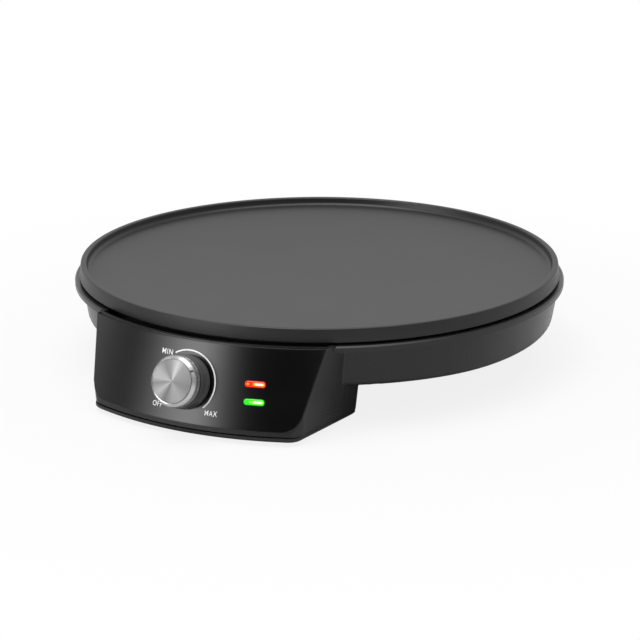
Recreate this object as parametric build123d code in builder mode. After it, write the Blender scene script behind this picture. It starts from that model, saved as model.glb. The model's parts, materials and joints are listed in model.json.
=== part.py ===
from build123d import *
from math import asin, cos, degrees, pi, radians, sin, tan
import os

# Electric crepe maker with a cooking plate 300 mm across. Millimetres, +Z up.
# The origin is the centre of the cooking surface. The control box is at the front, towards -Y.
# An azimuth is counted from the front, positive towards +X.

os.makedirs("parts", exist_ok=True)

# ---------------------------------------------------------------- driving dimensions
# Griddle plate
rim_radius = 154.0              # outer edge of the rim
rim_height = 5.0                # rim above the cooking surface
rim_wall = 3.6
rim_chamfer = 0.9
well_chamfer = 1.4
skirt_chamfer = 0.5
plate_thickness = 5.0
skirt_depth = 3.5               # outer edge below the cooking surface
skirt_flare = 1.2               # skirt's foot beyond the rim
spigot_clearance = 2.0          # plate's step inside the bowl's mouth
plate_boss_radius = 6.0
plate_boss_height = 3.0

# Heater
element_loop_radius = 100.0
element_radius = 3.3
element_flats = 8               # the tube is swaged to flats that seat in a square groove
element_gap = 0.15              # round the tube in its groove
element_sink = 3.2              # tube's axis below the plate's underside
ridge_width = 14.0
ridge_height = 3.5
element_end_azimuth = 14.0
element_bend = 8.0
element_drop = 3.0              # straight end below the bend
seal_radius = 4.2
seal_length = 4.0
pin_radius = 1.2
pin_length = 5.0
tab_width = 6.3
tab_thickness = 0.8

# Heat reflector
reflector_radius = 118.0
reflector_sheet = 0.8
reflector_rim = 6.0
reflector_gap = 6.0             # below the plate's bosses
end_slot_radius = 6.5

# Posts that carry the plate
post_circle = 70.0
post_count = 3
post_radius = 6.5
post_draft = 1.5
spacer_radius = 5.0
screw_radius = 2.0
screw_clearance = 0.3
head_radius = 4.0
head_height = 2.4
counterbore_radius = 4.6
counterbore_depth = 5.0
screw_grip = 4.5                # thread inside the plate's boss

# Base shell
plate_gap = 1.2                 # air gap between the skirt and the flange
flange_overhang = 2.8           # flange beyond the skirt's foot
flange_drop = 3.7               # height of the flange's lip
flange_wall = 2.2
flange_chamfer = 0.9
wall_setback = 9.0              # bowl's wall inside the flange's edge
bowl_lean = 2.0                 # how far the wall comes in on its way down
bowl_depth = 29.2               # from the flange's top to the bottom
bowl_round = 5.0
shell_wall = 2.5
vent_count = 12
vent_circle = 42.0
vent_length = 22.0
vent_width = 4.0

# Control box
panel_reach = 6.8               # panel's top edge beyond the flange
panel_rise = 0.9                # panel's top edge above the flange
panel_height = 45.8
panel_lean = 18.6               # degrees from upright, foot outwards
panel_thickness = 2.0
panel_corner = 11.0
panel_margin = 0.7              # shell left beside the panel
panel_edge_chamfer = 0.5
panel_clearance = 0.2
panel_seat = 0.05
band_height = 3.2               # shell below the panel
band_setback = 1.2              # shell's face behind the panel's face there
box_depth = 62.8                # rear wall behind the panel's top edge
box_half_width = 78.6           # at the rear wall's foot
cheek_splay = 8.5               # degrees, box narrower towards the front
cheek_draft = 6.4               # degrees, box narrower towards its foot
cheek_corner = 1.5
foot_corner = 9.0
rear_corner = 6.0
box_fillet = 3.0                # where the box grows out of the bowl
deck_drop = 4.3                 # trough behind the panel, below the flange's top
cover_seam = 0.4
cover_thickness = 2.6
cover_chamfer = 1.0
cover_land = 1.2                # cover's raised land, inside its edge
lip_reach = 1.2                 # cover's front edge beyond the shell's foot

# Legs and feet
leg_circle = 103.0
leg_azimuth = 140.0
leg_radius = 11.0
leg_draft = 3.0
foot_radius = 6.5
foot_height = 2.5
foot_sink = 1.0
foot_gap = 0.2
front_foot_inset = 28.6         # from the box's half width
front_foot_setback = 14.8       # behind the panel's top edge

# Screws of the cover and the panel
small_screw_radius = 1.5
small_head_radius = 2.8
small_head_height = 1.8
boss_radius = 3.6
cover_screw_length = 9.0
boss_height = 10.0
boss_inset = 5.4                # boss's axis from the outer face of the wall
boss_front_setback = 16.8       # behind the panel's top edge
boss_rear_gap = 10.0            # in front of the rear wall
cover_vent_count = 7
cover_vent_pitch = 9.0
cover_vent_length = 24.0
cover_vent_width = 3.0
cover_vent_setback = 24.8       # behind the panel's top edge
peg_radius = 2.6
peg_inset = 8.5                 # from the panel's side
peg_height_top = 12.0
peg_height_foot = 36.0
peg_recess = 0.2                # peg's end below the wall's inner face
panel_screw_length = 4.0
panel_screw_flange = 0.8        # head's flange beyond a plain head
panel_screw_seat = 0.1          # head behind the curved wall

# Knob and spindle
knob_height = 23.3              # axis below the panel's top edge
knob_gap = 0.6
knob_radius = 16.15
knob_front_radius = 15.6
knob_skirt = 9.4                # height of the dark foot
knob_depth = 17.3               # whole knob
knob_wall = 2.4
hub_radius = 5.6
hub_start = 1.6
collar_radius = 15.2
collar_wall = 2.4
collar_teeth = 60
tooth_depth = 0.35
collar_chamfer = 0.8
disc_sheet = 0.8
disc_gap = 0.15
clip_width = 3.0
clip_sheet = 0.7
clip_gap = 3.0
spindle_radius = 3.0
spindle_clearance = 0.05
spindle_flat = 1.4
spindle_end = 13.0              # in front of the panel's face
shoulder_radius = 4.0
shoulder_width = 1.2
panel_hole_radius = 4.2
wall_hole_radius = 5.0

# Thermostat
bracket_sheet = 1.5
bracket_width = 14.0
bracket_depth = 8.6             # middle of the sheet behind the panel's face
bracket_foot_gap = 5.0          # foot under the plate, in front of the heater's ridge
bracket_foot_length = 15.0
bracket_step_run = 6.0
bracket_step_drop = 10.0
bracket_bend = 2.5
mount_plate_length = 29.0
mount_plate_width = 18.0
bush_radius = 4.3
bush_flange_radius = 7.0
bush_flange = 1.2
bush_nose = 1.3
bush_peen = 0.6
running_gap = 0.3
fit_gap = 0.05                  # round screws and pressed pieces
adjuster_gap = 1.0              # between the spindle's end and the adjuster's head
bore_spare = 1.5                # thread left beyond the adjuster's end
adjuster_radius = 1.9
adjuster_length = 6.0
adjuster_head = 1.5
adjuster_head_width = 5.0
adjuster_head_reach = 4.2
tip_radius = 1.5
tip_length = 3.0
ear_sheet = 1.2
ear_width = 5.0
ear_reach = 5.6
stack_offset = 15.0
insulator_radius = 4.5
insulator_bore = 2.2
rivet_radius = 2.1
rivet_head_radius = 3.4
rivet_head = 1.2
blade_sheet = 0.4
blade_width = 7.0
blade_reach = 11.0              # beyond the knob's axis
contact_reach = 8.0
contact_radius = 1.8
arm_contact = 0.6
contact_opening = 0.75
insulator_step = 2.4
bimetal_sheet = 1.0
end_insulator = 1.6
terminal_reach = 13.0

# Pilot lights
lamp_inset = 29.85              # from the panel's side
lamp_height_red = 20.2          # below the panel's top edge
lamp_height_green = 30.0
lens_length = 12.6
lens_width = 3.8
lens_proud = 0.4
lens_gap = 0.1
lens_flange = 1.3
lens_seat = 0.2                 # flange behind the curved panel
window_gap = 0.25
lens_flange_margin = 1.2
holder_depth = 10.0
holder_width = 21.0
holder_wall = 2.2
pocket_height = 5.0
pocket_width = 13.0
holder_pocket = 8.0
neon_radius = 2.3
neon_length = 12.0

# Wiring
gland_inset = 30.6              # from the box's half width
gland_height = 8.2              # above the box's foot
gland_neck = 11.0               # side of the square neck, which can't turn in the wall
gland_corner = 2.0
gland_bore = 3.6
gland_flange = 2.0
gland_flange_radius = 7.6
gland_gap = 0.1
gland_tail = 3.0                # inside the wall
block_length = 32.0
block_width = 18.0
block_height = 14.0
block_inset = 32.6              # from the box's half width
block_setback = 28.8            # behind the panel's top edge
block_pitch = 10.0
block_hole_radius = 2.0
block_screw_radius = 1.6
fuse_circle = 58.0
fuse_radius = 2.0
fuse_length = 11.0
strap_sheet = 0.5
strap_width = 7.0
strap_reach = 9.0
earth_x = 30.0
earth_y = -62.0
earth_ring_radius = 4.5

# ---------------------------------------------------------------- derived levels and radii
lean = radians(panel_lean)
skirt_radius = rim_radius + skirt_flare
well_radius = rim_radius - rim_wall
flange_radius = skirt_radius + flange_overhang
flange_top = -skirt_depth - plate_gap
flange_foot = flange_top - flange_drop
bowl_top_radius = flange_radius - wall_setback
bowl_foot_radius = bowl_top_radius - bowl_lean
bowl_bottom = flange_top - bowl_depth
floor_top = bowl_bottom + shell_wall
mouth_radius = bowl_top_radius - shell_wall
spigot_radius = mouth_radius - spigot_clearance
panel_radius = flange_radius + panel_reach
panel_top = flange_top + panel_rise
panel_foot = panel_top - panel_height
box_rear = panel_radius - box_depth
box_foot = panel_foot - band_height
cover_top = box_foot - cover_seam
cover_bottom = cover_top - cover_thickness
ground = cover_bottom - foot_height
deck_top = flange_top - deck_drop
boss_foot = -plate_thickness - plate_boss_height
reflector_top = boss_foot - reflector_gap
post_top = reflector_top - reflector_sheet
element_height = -plate_thickness - element_sink
panel_back = panel_thickness + panel_seat
wall_back = panel_back + shell_wall
bracket_foot_far = element_loop_radius + ridge_width / 2 + bracket_foot_gap
bracket_foot_near = bracket_foot_far + bracket_foot_length
bracket_step_y = bracket_foot_near + bracket_step_run


def panel_radius_at(height):
    """Radius of the panel's conical face at one height."""
    return panel_radius + (panel_top - height) * tan(lean)


def cheek_half_width(y, height):
    """Half the box's width, which narrows towards the front and towards the foot."""
    splay = (y + box_rear) * tan(radians(cheek_splay))
    return box_half_width + splay + (height - box_foot) * tan(radians(cheek_draft))


def cheek_front_x(height, radius):
    """Half width where the cheek meets a circle round the plate's axis."""
    y = -radius
    for step in range(20):
        y = -(max(radius**2 - cheek_half_width(y, height) ** 2, 0.0) ** 0.5)
    return cheek_half_width(y, height)


def azimuth_inside(height, inset):
    """Azimuth of a place on the panel at one height, a fixed distance in from the panel's side."""
    radius = panel_radius_at(height)
    return degrees(asin((cheek_front_x(height, radius) - panel_margin - inset) / radius))


def at_azimuth(radius, azimuth, height=0.0):
    """A point on a circle round the plate's axis."""
    return Vector(radius * sin(radians(azimuth)), -radius * cos(radians(azimuth)), height)


def panel_plane(azimuth, height):
    """A plane that touches the panel's face: x to the right, y up the panel, z outwards."""
    turn = radians(azimuth)
    return Plane(
        origin=at_azimuth(panel_radius_at(height), azimuth, height),
        x_dir=(cos(turn), sin(turn), 0),
        z_dir=(sin(turn) * cos(lean), -cos(turn) * cos(lean), sin(lean)),
    )


def box_outline(height, front_radius, corner, inset=0.0):
    """Plan outline of the control box at one height."""
    rear_y = -box_rear - inset
    front_y = -2 * panel_radius
    side_inset = inset / cos(radians(cheek_splay))
    rear_x = cheek_half_width(rear_y, height) - side_inset
    front_x = cheek_half_width(front_y, height) - side_inset
    with BuildSketch(Plane.XY.offset(height)) as outline:
        with BuildLine():
            Polyline((-rear_x, rear_y), (rear_x, rear_y), (front_x, front_y), (-front_x, front_y), close=True)
        make_face()
        Circle(front_radius, mode=Mode.INTERSECT)
        fillet(outline.vertices().sort_by(Axis.Y)[:2], corner)
        fillet(outline.vertices().sort_by(Axis.Y)[-2:], max(rear_corner - inset, 1.0))
    return outline.sketch.face()


def panel_blank(face_offset, back_offset, margin, above):
    """Solid between two cones parallel to the panel's face, cut to the panel's front outline."""
    top = panel_top + above
    foot = panel_foot - margin
    with BuildPart() as blank:
        with BuildSketch(Plane.XZ):
            with BuildLine():
                Polyline(
                    (panel_radius_at(top) + face_offset / cos(lean), top),
                    (panel_radius_at(foot) + face_offset / cos(lean), foot),
                    (panel_radius_at(foot) - back_offset / cos(lean), foot),
                    (panel_radius_at(top) - back_offset / cos(lean), top),
                    close=True,
                )
            make_face()
        revolve(axis=Axis.Z)
        half_top = cheek_front_x(panel_top, panel_radius) - panel_margin + margin
        half_foot = cheek_front_x(panel_foot, panel_radius_at(panel_foot)) - panel_margin + margin
        side_slope = (half_top - half_foot) / panel_height
        with BuildSketch(Plane.XZ) as front:
            with BuildLine():
                Polyline(
                    (-half_foot, foot),
                    (half_foot, foot),
                    (half_top + side_slope * above, top),
                    (-half_top - side_slope * above, top),
                    close=True,
                )
            make_face()
            fillet(front.vertices().sort_by(Axis.Y)[:2], panel_corner + margin)
        extrude(amount=2 * panel_radius, mode=Mode.INTERSECT)
    return blank.part


def screw(shank_radius, length, cap_radius, cap_height):
    """A pan head screw: head below z = 0, shank upwards."""
    with BuildPart() as blank:
        with BuildSketch(Plane.XZ) as section:
            with BuildLine():
                Polyline(
                    (0, -cap_height),
                    (cap_radius, -cap_height),
                    (cap_radius, 0),
                    (shank_radius, 0),
                    (shank_radius, length),
                    (0, length),
                    close=True,
                )
            make_face()
            chamfer(section.vertices().group_by(Axis.Y)[0].sort_by(Axis.X)[-1], cap_height / 3)
        revolve(axis=Axis.Z)
        with BuildSketch(Plane.XY.offset(-cap_height)):
            Rectangle(cap_radius * 1.2, cap_radius * 0.3)
            Rectangle(cap_radius * 0.3, cap_radius * 1.2)
        extrude(amount=cap_height / 2, mode=Mode.SUBTRACT)
    return blank.part


def save(piece, name):
    """Label a finished piece and write it."""
    piece.part.label = name
    export_step(piece.part, f"parts/{name}.step")


post_azimuths = [60 + 360 / post_count * index for index in range(post_count)]
post_points = [at_azimuth(post_circle, azimuth) for azimuth in post_azimuths]
bracket_screw_y = -(bracket_foot_far + bracket_foot_near) / 2
fuse_screw_x = fuse_length / 2 + strap_reach / 2

# ---------------------------------------------------------------- griddle plate
with BuildPart() as griddle_plate:
    with BuildSketch(Plane.XZ) as plate_section:
        with BuildLine():
            Polyline(
                (0, 0),
                (well_radius - rim_height * 0.12, 0),
                (well_radius, rim_height),
                (rim_radius, rim_height),
                (skirt_radius, -skirt_depth),
                (spigot_radius, -skirt_depth),
                (spigot_radius, -plate_thickness),
                (0, -plate_thickness),
                close=True,
            )
        make_face()
        chamfer(plate_section.vertices().group_by(Axis.Y)[-1], rim_chamfer)
        well_corner = (well_radius - rim_height * 0.12, 0)
        chamfer(plate_section.vertices().sort_by_distance(well_corner)[0], well_chamfer)
        chamfer(plate_section.vertices().sort_by_distance((skirt_radius, -skirt_depth))[0], skirt_chamfer)
    revolve(axis=Axis.Z)
    # Ridge under the plate with the heater's square groove in it.
    with BuildSketch(Plane.XZ):
        with Locations((element_loop_radius, -plate_thickness - ridge_height / 2)):
            Rectangle(ridge_width, ridge_height)
    revolve(axis=Axis.Z)
    with BuildSketch(Plane.XZ):
        with Locations((element_loop_radius, element_height)):
            Rectangle(2 * (element_radius + element_gap), 2 * (element_radius + element_gap))
    revolve(axis=Axis.Z, mode=Mode.SUBTRACT)
    # Bosses for the posts' screws.
    with BuildSketch(Plane.XY.offset(-plate_thickness)):
        with Locations(*post_points):
            Circle(plate_boss_radius)
    extrude(amount=-plate_boss_height)
    with BuildSketch(Plane.XY.offset(boss_foot)):
        with Locations(*post_points):
            Circle(screw_radius + fit_gap)
    extrude(amount=screw_grip + bore_spare / 2, mode=Mode.SUBTRACT)
    with BuildSketch(Plane.XY.offset(-plate_thickness)):
        with Locations(
            (-bracket_width / 4, bracket_screw_y),
            (bracket_width / 4, bracket_screw_y),
            (-fuse_screw_x, fuse_circle),
            (fuse_screw_x, fuse_circle),
            (earth_x, earth_y),
        ):
            Circle(small_screw_radius + fit_gap)
    extrude(amount=plate_thickness * 0.7, mode=Mode.SUBTRACT)
save(griddle_plate, "griddle_plate")

# ---------------------------------------------------------------- heater
loop_start = at_azimuth(element_loop_radius, element_end_azimuth, element_height)
loop_end = at_azimuth(element_loop_radius, -element_end_azimuth, element_height)
start_run = Vector(cos(radians(element_end_azimuth)), sin(radians(element_end_azimuth)), 0)
end_run = Vector(start_run.X, -start_run.Y, 0)
bend_down = Vector(0, 0, -element_bend)
start_knee = loop_start - start_run * element_bend + bend_down
end_knee = loop_end + end_run * element_bend + bend_down
element_ends = [start_knee - Vector(0, 0, element_drop), end_knee - Vector(0, 0, element_drop)]

with BuildPart() as heating_element:
    with BuildLine() as element_path:
        Line(element_ends[0], start_knee)
        TangentArc(start_knee, loop_start, tangent=(0, 0, 1))
        ThreePointArc(loop_start, at_azimuth(element_loop_radius, 180, element_height), loop_end)
        TangentArc(loop_end, end_knee, tangent=end_run)
        Line(end_knee, element_ends[1])
    with BuildSketch(Plane(origin=element_ends[0], x_dir=start_run, z_dir=(0, 0, 1))):
        RegularPolygon(element_radius, element_flats, major_radius=False, rotation=180 / element_flats)
    sweep()
save(heating_element, "heating_element")

seal_top = element_ends[0].Z
with BuildPart() as element_seals:
    with BuildSketch(Plane.XY.offset(seal_top)):
        with Locations(*[(end.X, end.Y) for end in element_ends]):
            Circle(seal_radius)
            Circle(pin_radius, mode=Mode.SUBTRACT)
    extrude(amount=-seal_length)
    chamfer(element_seals.edges().group_by(Axis.Z)[0].filter_by(lambda e: e.radius > pin_radius * 1.5), 0.8)
save(element_seals, "element_seals")

with BuildPart() as element_pins:
    with BuildSketch(Plane.XY.offset(seal_top)):
        with Locations(*[(end.X, end.Y) for end in element_ends]):
            Circle(pin_radius)
    extrude(amount=-seal_length - 0.6)
    with BuildSketch(Plane.XY.offset(seal_top - seal_length - 0.6)):
        with Locations(*[(end.X, end.Y) for end in element_ends]):
            Rectangle(tab_width, tab_thickness)
    extrude(amount=-pin_length)
save(element_pins, "element_pins")

# ---------------------------------------------------------------- heat reflector
with BuildPart() as heat_reflector:
    with BuildSketch(Plane.XZ):
        with BuildLine():
            Polyline(
                (0, reflector_top),
                (reflector_radius, reflector_top),
                (reflector_radius + reflector_rim, reflector_top + reflector_rim / 2),
                (reflector_radius + reflector_rim + reflector_sheet, reflector_top + reflector_rim / 2),
                (reflector_radius + reflector_sheet / 2, reflector_top - reflector_sheet),
                (0, reflector_top - reflector_sheet),
                close=True,
            )
        make_face()
    revolve(axis=Axis.Z)
    with BuildSketch(Plane.XY.offset(reflector_top)):
        with Locations(*post_points):
            Circle(screw_radius + screw_clearance)
        with Locations(*[(end.X, end.Y) for end in element_ends]):
            Circle(end_slot_radius)
    extrude(amount=-reflector_sheet, mode=Mode.SUBTRACT)
save(heat_reflector, "heat_reflector")

with BuildPart() as plate_spacers:
    with BuildSketch(Plane.XY.offset(reflector_top)):
        with Locations(*post_points):
            Circle(spacer_radius)
            Circle(screw_radius + screw_clearance, mode=Mode.SUBTRACT)
    extrude(amount=reflector_gap)
save(plate_spacers, "plate_spacers")

head_seat = bowl_bottom + counterbore_depth
with BuildPart() as plate_screws:
    with Locations(*[(point.X, point.Y, head_seat) for point in post_points]):
        add(screw(screw_radius, boss_foot + screw_grip - head_seat, head_radius, head_height))
save(plate_screws, "plate_screws")

# ---------------------------------------------------------------- base shell
front_inset = wall_back / cos(lean)
shell_foot_radius = panel_radius_at(box_foot) - band_setback - band_height * tan(lean)
knee_height = panel_top - panel_height * 0.8
leg_points = [at_azimuth(leg_circle, side * leg_azimuth) for side in (-1, 1)]
cover_screw_points = [
    (side * (cheek_half_width(-y, box_foot) - boss_inset), -y)
    for side in (-1, 1)
    for y in (box_rear + boss_rear_gap, panel_radius - boss_front_setback)
]
front_foot_points = [
    (side * (box_half_width - front_foot_inset), front_foot_setback - panel_radius) for side in (-1, 1)
]
peg_planes = [
    panel_plane(side * azimuth_inside(panel_top - drop, peg_inset), panel_top - drop)
    for side in (-1, 1)
    for drop in (peg_height_top, peg_height_foot)
]
knob_plane = panel_plane(0, panel_top - knob_height)
lamp_drop = (lamp_height_red + lamp_height_green) / 2
lamp_azimuth = azimuth_inside(panel_top - lamp_drop, lamp_inset)
red_plane = panel_plane(lamp_azimuth, panel_top - lamp_height_red)
green_plane = panel_plane(lamp_azimuth, panel_top - lamp_height_green)
gland_point = (gland_inset - box_half_width, -box_rear, box_foot + gland_height)
gland_plane = Plane(origin=gland_point, x_dir=(-1, 0, 0), z_dir=(0, 1, 0))

# Space inside the control box, open at the foot.
inside_foot = box_foot - shell_wall
inside_top = panel_top + shell_wall
with BuildPart() as box_inside:
    loft([box_outline(height, 1.1 * panel_radius, 1.0, shell_wall) for height in (inside_foot, inside_top)])
    with BuildSketch(Plane.XZ):
        with BuildLine():
            Polyline(
                (0, inside_foot),
                (panel_radius_at(inside_foot) - front_inset, inside_foot),
                (panel_radius_at(inside_top) - front_inset, inside_top),
                (0, inside_top),
                close=True,
            )
        make_face()
    revolve(axis=Axis.Z, mode=Mode.INTERSECT)

# Deck of the trough behind the panel, with the bowl's wall standing at its inner edge.
with BuildPart() as trough_deck:
    with BuildSketch(Plane.XZ):
        with BuildLine():
            deck_edge = panel_radius_at(deck_top) - front_inset + shell_wall / 2
            Polyline(
                (mouth_radius, flange_top),
                (bowl_top_radius, flange_top),
                (bowl_top_radius, deck_top),
                (deck_edge, deck_top),
                (deck_edge, deck_top - shell_wall),
                (mouth_radius, deck_top - shell_wall),
                close=True,
            )
        make_face()
    revolve(axis=Axis.Z)
    loft(
        [
            box_outline(height, panel_radius_at(height) - front_inset / 2, 4.0, shell_wall / 2)
            for height in (box_foot, panel_top)
        ],
        ruled=True,
        mode=Mode.INTERSECT,
    )

with BuildPart() as base_shell:
    # Bowl, flange and lip are one turned wall.
    with BuildSketch(Plane.XZ) as bowl_section:
        with BuildLine():
            Polyline(
                (0, bowl_bottom),
                (bowl_foot_radius, bowl_bottom),
                (bowl_top_radius, flange_top - flange_wall),
                (flange_radius - flange_wall, flange_top - flange_wall),
                (flange_radius - flange_wall, flange_foot),
                (flange_radius, flange_foot),
                (flange_radius, flange_top),
                (0, flange_top),
                close=True,
            )
        make_face()
        fillet(bowl_section.vertices().sort_by_distance((bowl_foot_radius, bowl_bottom))[0], bowl_round)
        chamfer(bowl_section.vertices().sort_by_distance((flange_radius, flange_top))[0], flange_chamfer)
    revolve(axis=Axis.Z)
    # The box under the front, its corners rounder towards the foot.
    loft(
        [
            box_outline(box_foot, shell_foot_radius, foot_corner),
            box_outline(knee_height, panel_radius_at(knee_height), cheek_corner),
            box_outline(panel_top, panel_radius, cheek_corner),
        ],
        ruled=True,
    )
    # The box grows out of the bowl with a soft inner corner.
    underside = base_shell.edges().filter_by(lambda e: e.center().Z < flange_foot)
    crease = underside.filter_by(
        lambda e: -bowl_top_radius < e.bounding_box().min.Y
        and e.bounding_box().max.Y < box_fillet - box_rear
        and e.center().Z >= bowl_bottom
        and e.bounding_box().max.Z <= flange_top - flange_wall
    )
    fillet(crease, box_fillet)
    # The bowl's inside, and everything above the flange.
    with BuildSketch(Plane.XZ) as bowl_hollow:
        with BuildLine():
            Polyline(
                (0, floor_top),
                (bowl_foot_radius - shell_wall, floor_top),
                (mouth_radius, flange_top),
                (flange_radius, flange_top),
                (flange_radius, panel_top + shell_wall),
                (0, panel_top + shell_wall),
                close=True,
            )
        make_face()
        hollow_corner = (bowl_foot_radius - shell_wall, floor_top)
        chamfer(bowl_hollow.vertices().sort_by_distance(hollow_corner)[0], (bowl_round - shell_wall) / 2)
    revolve(axis=Axis.Z, mode=Mode.SUBTRACT)
    add(box_inside.part, mode=Mode.SUBTRACT)
    add(trough_deck.part)
    add(panel_blank(shell_wall * 2, panel_back, panel_clearance, shell_wall), mode=Mode.SUBTRACT)
    # Posts under the plate, legs at the rear and bosses for the cover's screws.
    with BuildSketch(Plane.XY.offset(floor_top)):
        with Locations(*post_points):
            Circle(post_radius)
    extrude(amount=post_top - floor_top, taper=post_draft)
    with BuildSketch(Plane.XY.offset(bowl_bottom)):
        with Locations(*leg_points):
            Circle(leg_radius)
    extrude(amount=cover_bottom - bowl_bottom, taper=leg_draft)
    with BuildSketch(Plane.XY.offset(floor_top)):
        with Locations(*leg_points):
            Circle(leg_radius - shell_wall)
    extrude(amount=cover_bottom + shell_wall + foot_sink - floor_top, taper=leg_draft, mode=Mode.SUBTRACT)
    with BuildSketch(Plane.XY.offset(cover_bottom)):
        with Locations(*leg_points):
            Circle(foot_radius + foot_gap)
    extrude(amount=foot_sink, mode=Mode.SUBTRACT)
    # Screw holes through the posts, entered from below.
    with BuildSketch(Plane.XY.offset(bowl_bottom)):
        with Locations(*post_points):
            Circle(counterbore_radius)
    extrude(amount=counterbore_depth, mode=Mode.SUBTRACT)
    with BuildSketch(Plane.XY.offset(bowl_bottom)):
        with Locations(*post_points):
            Circle(screw_radius + screw_clearance)
    extrude(amount=post_top - bowl_bottom, mode=Mode.SUBTRACT)
    # Vents through the floor.
    with BuildSketch(Plane.XY.offset(bowl_bottom)):
        with PolarLocations(vent_circle, vent_count):
            SlotOverall(vent_length, vent_width)
    extrude(amount=shell_wall, mode=Mode.SUBTRACT)
    # Bosses for the cover's screws, in the box's corners.
    with BuildSketch(Plane.XY.offset(box_foot)):
        with Locations(*cover_screw_points):
            Circle(boss_radius)
    extrude(amount=boss_height)
    with BuildSketch(Plane.XY.offset(box_foot)):
        with Locations(*cover_screw_points):
            Circle(small_screw_radius + fit_gap)
    extrude(amount=boss_height - shell_wall / 2, mode=Mode.SUBTRACT)
    # Holes in the wall behind the panel: its pegs, the spindle and the two pilot lights.
    for peg_plane in peg_planes:
        with BuildSketch(peg_plane):
            Circle(peg_radius + panel_clearance)
        extrude(amount=-wall_back - shell_wall, mode=Mode.SUBTRACT)
    with BuildSketch(knob_plane):
        Circle(wall_hole_radius)
    extrude(amount=-wall_back - shell_wall, mode=Mode.SUBTRACT)
    for lens_plane in (red_plane, green_plane):
        with BuildSketch(lens_plane):
            SlotOverall(
                lens_length + 2 * (lens_flange_margin + window_gap),
                lens_width + 2 * (lens_flange_margin + window_gap),
            )
        extrude(amount=-wall_back - shell_wall, mode=Mode.SUBTRACT)
    # Square hole for the cord's gland in the rear wall.
    with BuildSketch(gland_plane):
        RectangleRounded(gland_neck + 2 * gland_gap, gland_neck + 2 * gland_gap, gland_corner)
    extrude(amount=-shell_wall - 1, mode=Mode.SUBTRACT)
save(base_shell, "base_shell")

# ---------------------------------------------------------------- control panel
peg_length = panel_seat + shell_wall - peg_recess
with BuildPart() as control_panel:
    add(panel_blank(0, panel_thickness, 0, 0))
    face = control_panel.faces().filter_by(GeomType.CONE).sort_by(SortBy.AREA)[-1]
    chamfer(face.edges(), panel_edge_chamfer)
    # Pegs that reach through the shell, each with a pilot hole for its screw.
    for peg_plane in peg_planes:
        with BuildSketch(peg_plane.offset(-panel_thickness / 2)):
            Circle(peg_radius)
        extrude(amount=-panel_thickness / 2 - peg_length)
        with BuildSketch(peg_plane.offset(-panel_thickness - peg_length)):
            Circle(small_screw_radius + fit_gap)
        extrude(amount=panel_screw_length, mode=Mode.SUBTRACT)
    with BuildSketch(knob_plane):
        Circle(panel_hole_radius)
    extrude(amount=-panel_thickness - 1, both=True, mode=Mode.SUBTRACT)
    for lens_plane in (red_plane, green_plane):
        with BuildSketch(lens_plane):
            SlotOverall(lens_length + 2 * lens_gap, lens_width + 2 * lens_gap)
        extrude(amount=-panel_thickness - 1, both=True, mode=Mode.SUBTRACT)
save(control_panel, "control_panel")

with BuildPart() as panel_screws:
    for peg_plane in peg_planes:
        with Locations(peg_plane.offset(-wall_back - panel_screw_seat)):
            add(
                screw(
                    small_screw_radius,
                    panel_screw_length - peg_recess - fit_gap,
                    small_head_radius + panel_screw_flange,
                    small_head_height,
                )
            )
save(panel_screws, "panel_screws")

# ---------------------------------------------------------------- bottom cover and feet
lip_radius = shell_foot_radius + lip_reach
with BuildPart() as bottom_cover:
    extrude(box_outline(cover_bottom, lip_radius, foot_corner), amount=cover_thickness)
    chamfer(bottom_cover.edges().group_by(Axis.Z)[0], cover_chamfer)
    land_radius = shell_foot_radius - cover_land
    extrude(box_outline(cover_top, land_radius, foot_corner, cover_land), amount=cover_seam)
    with BuildSketch(Plane.XY.offset(cover_bottom)):
        with Locations(*cover_screw_points):
            Circle(small_head_radius + screw_clearance)
    extrude(amount=small_head_height, mode=Mode.SUBTRACT)
    with BuildSketch(Plane.XY.offset(cover_bottom)):
        with Locations(*cover_screw_points):
            Circle(small_screw_radius + screw_clearance)
    extrude(amount=cover_thickness + cover_seam, mode=Mode.SUBTRACT)
    with BuildSketch(Plane.XY.offset(cover_bottom)):
        with Locations(*front_foot_points):
            Circle(foot_radius + foot_gap)
    extrude(amount=foot_sink, mode=Mode.SUBTRACT)
    with BuildSketch(Plane.XY.offset(cover_bottom)):
        with Locations((0, cover_vent_setback - panel_radius)):
            with GridLocations(cover_vent_pitch, cover_vent_pitch, cover_vent_count, 1):
                SlotOverall(cover_vent_length, cover_vent_width, rotation=90)
    extrude(amount=cover_thickness + cover_seam, mode=Mode.SUBTRACT)
save(bottom_cover, "bottom_cover")

with BuildPart() as cover_screws:
    with Locations(*[(x, y, cover_bottom + small_head_height) for x, y in cover_screw_points]):
        add(screw(small_screw_radius, cover_screw_length, small_head_radius, small_head_height - fit_gap))
save(cover_screws, "cover_screws")

for name, points in (("front_feet", front_foot_points), ("rear_feet", leg_points)):
    with BuildPart() as feet:
        with BuildSketch(Plane.XY.offset(ground)):
            with Locations(*points):
                Circle(foot_radius)
        extrude(amount=foot_height + foot_sink)
        chamfer(feet.edges().group_by(Axis.Z)[0], foot_sink / 2)
    save(feet, name)

# ---------------------------------------------------------------- knob, turning on the spindle
knob_axis = Axis(knob_plane.origin, knob_plane.z_dir)
knob_section_plane = Plane(origin=knob_plane.origin, x_dir=knob_plane.x_dir, z_dir=-knob_plane.y_dir)
core_radius = collar_radius - collar_wall - fit_gap
disc_seat = knob_depth - disc_sheet - disc_gap
bracket_front = -bracket_depth + bracket_sheet / 2
bracket_rear = bracket_front - bracket_sheet
bush_rear = bracket_rear - bush_peen
shoulder_front = bush_rear - running_gap
spindle_rear = shoulder_front - shoulder_width

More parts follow.
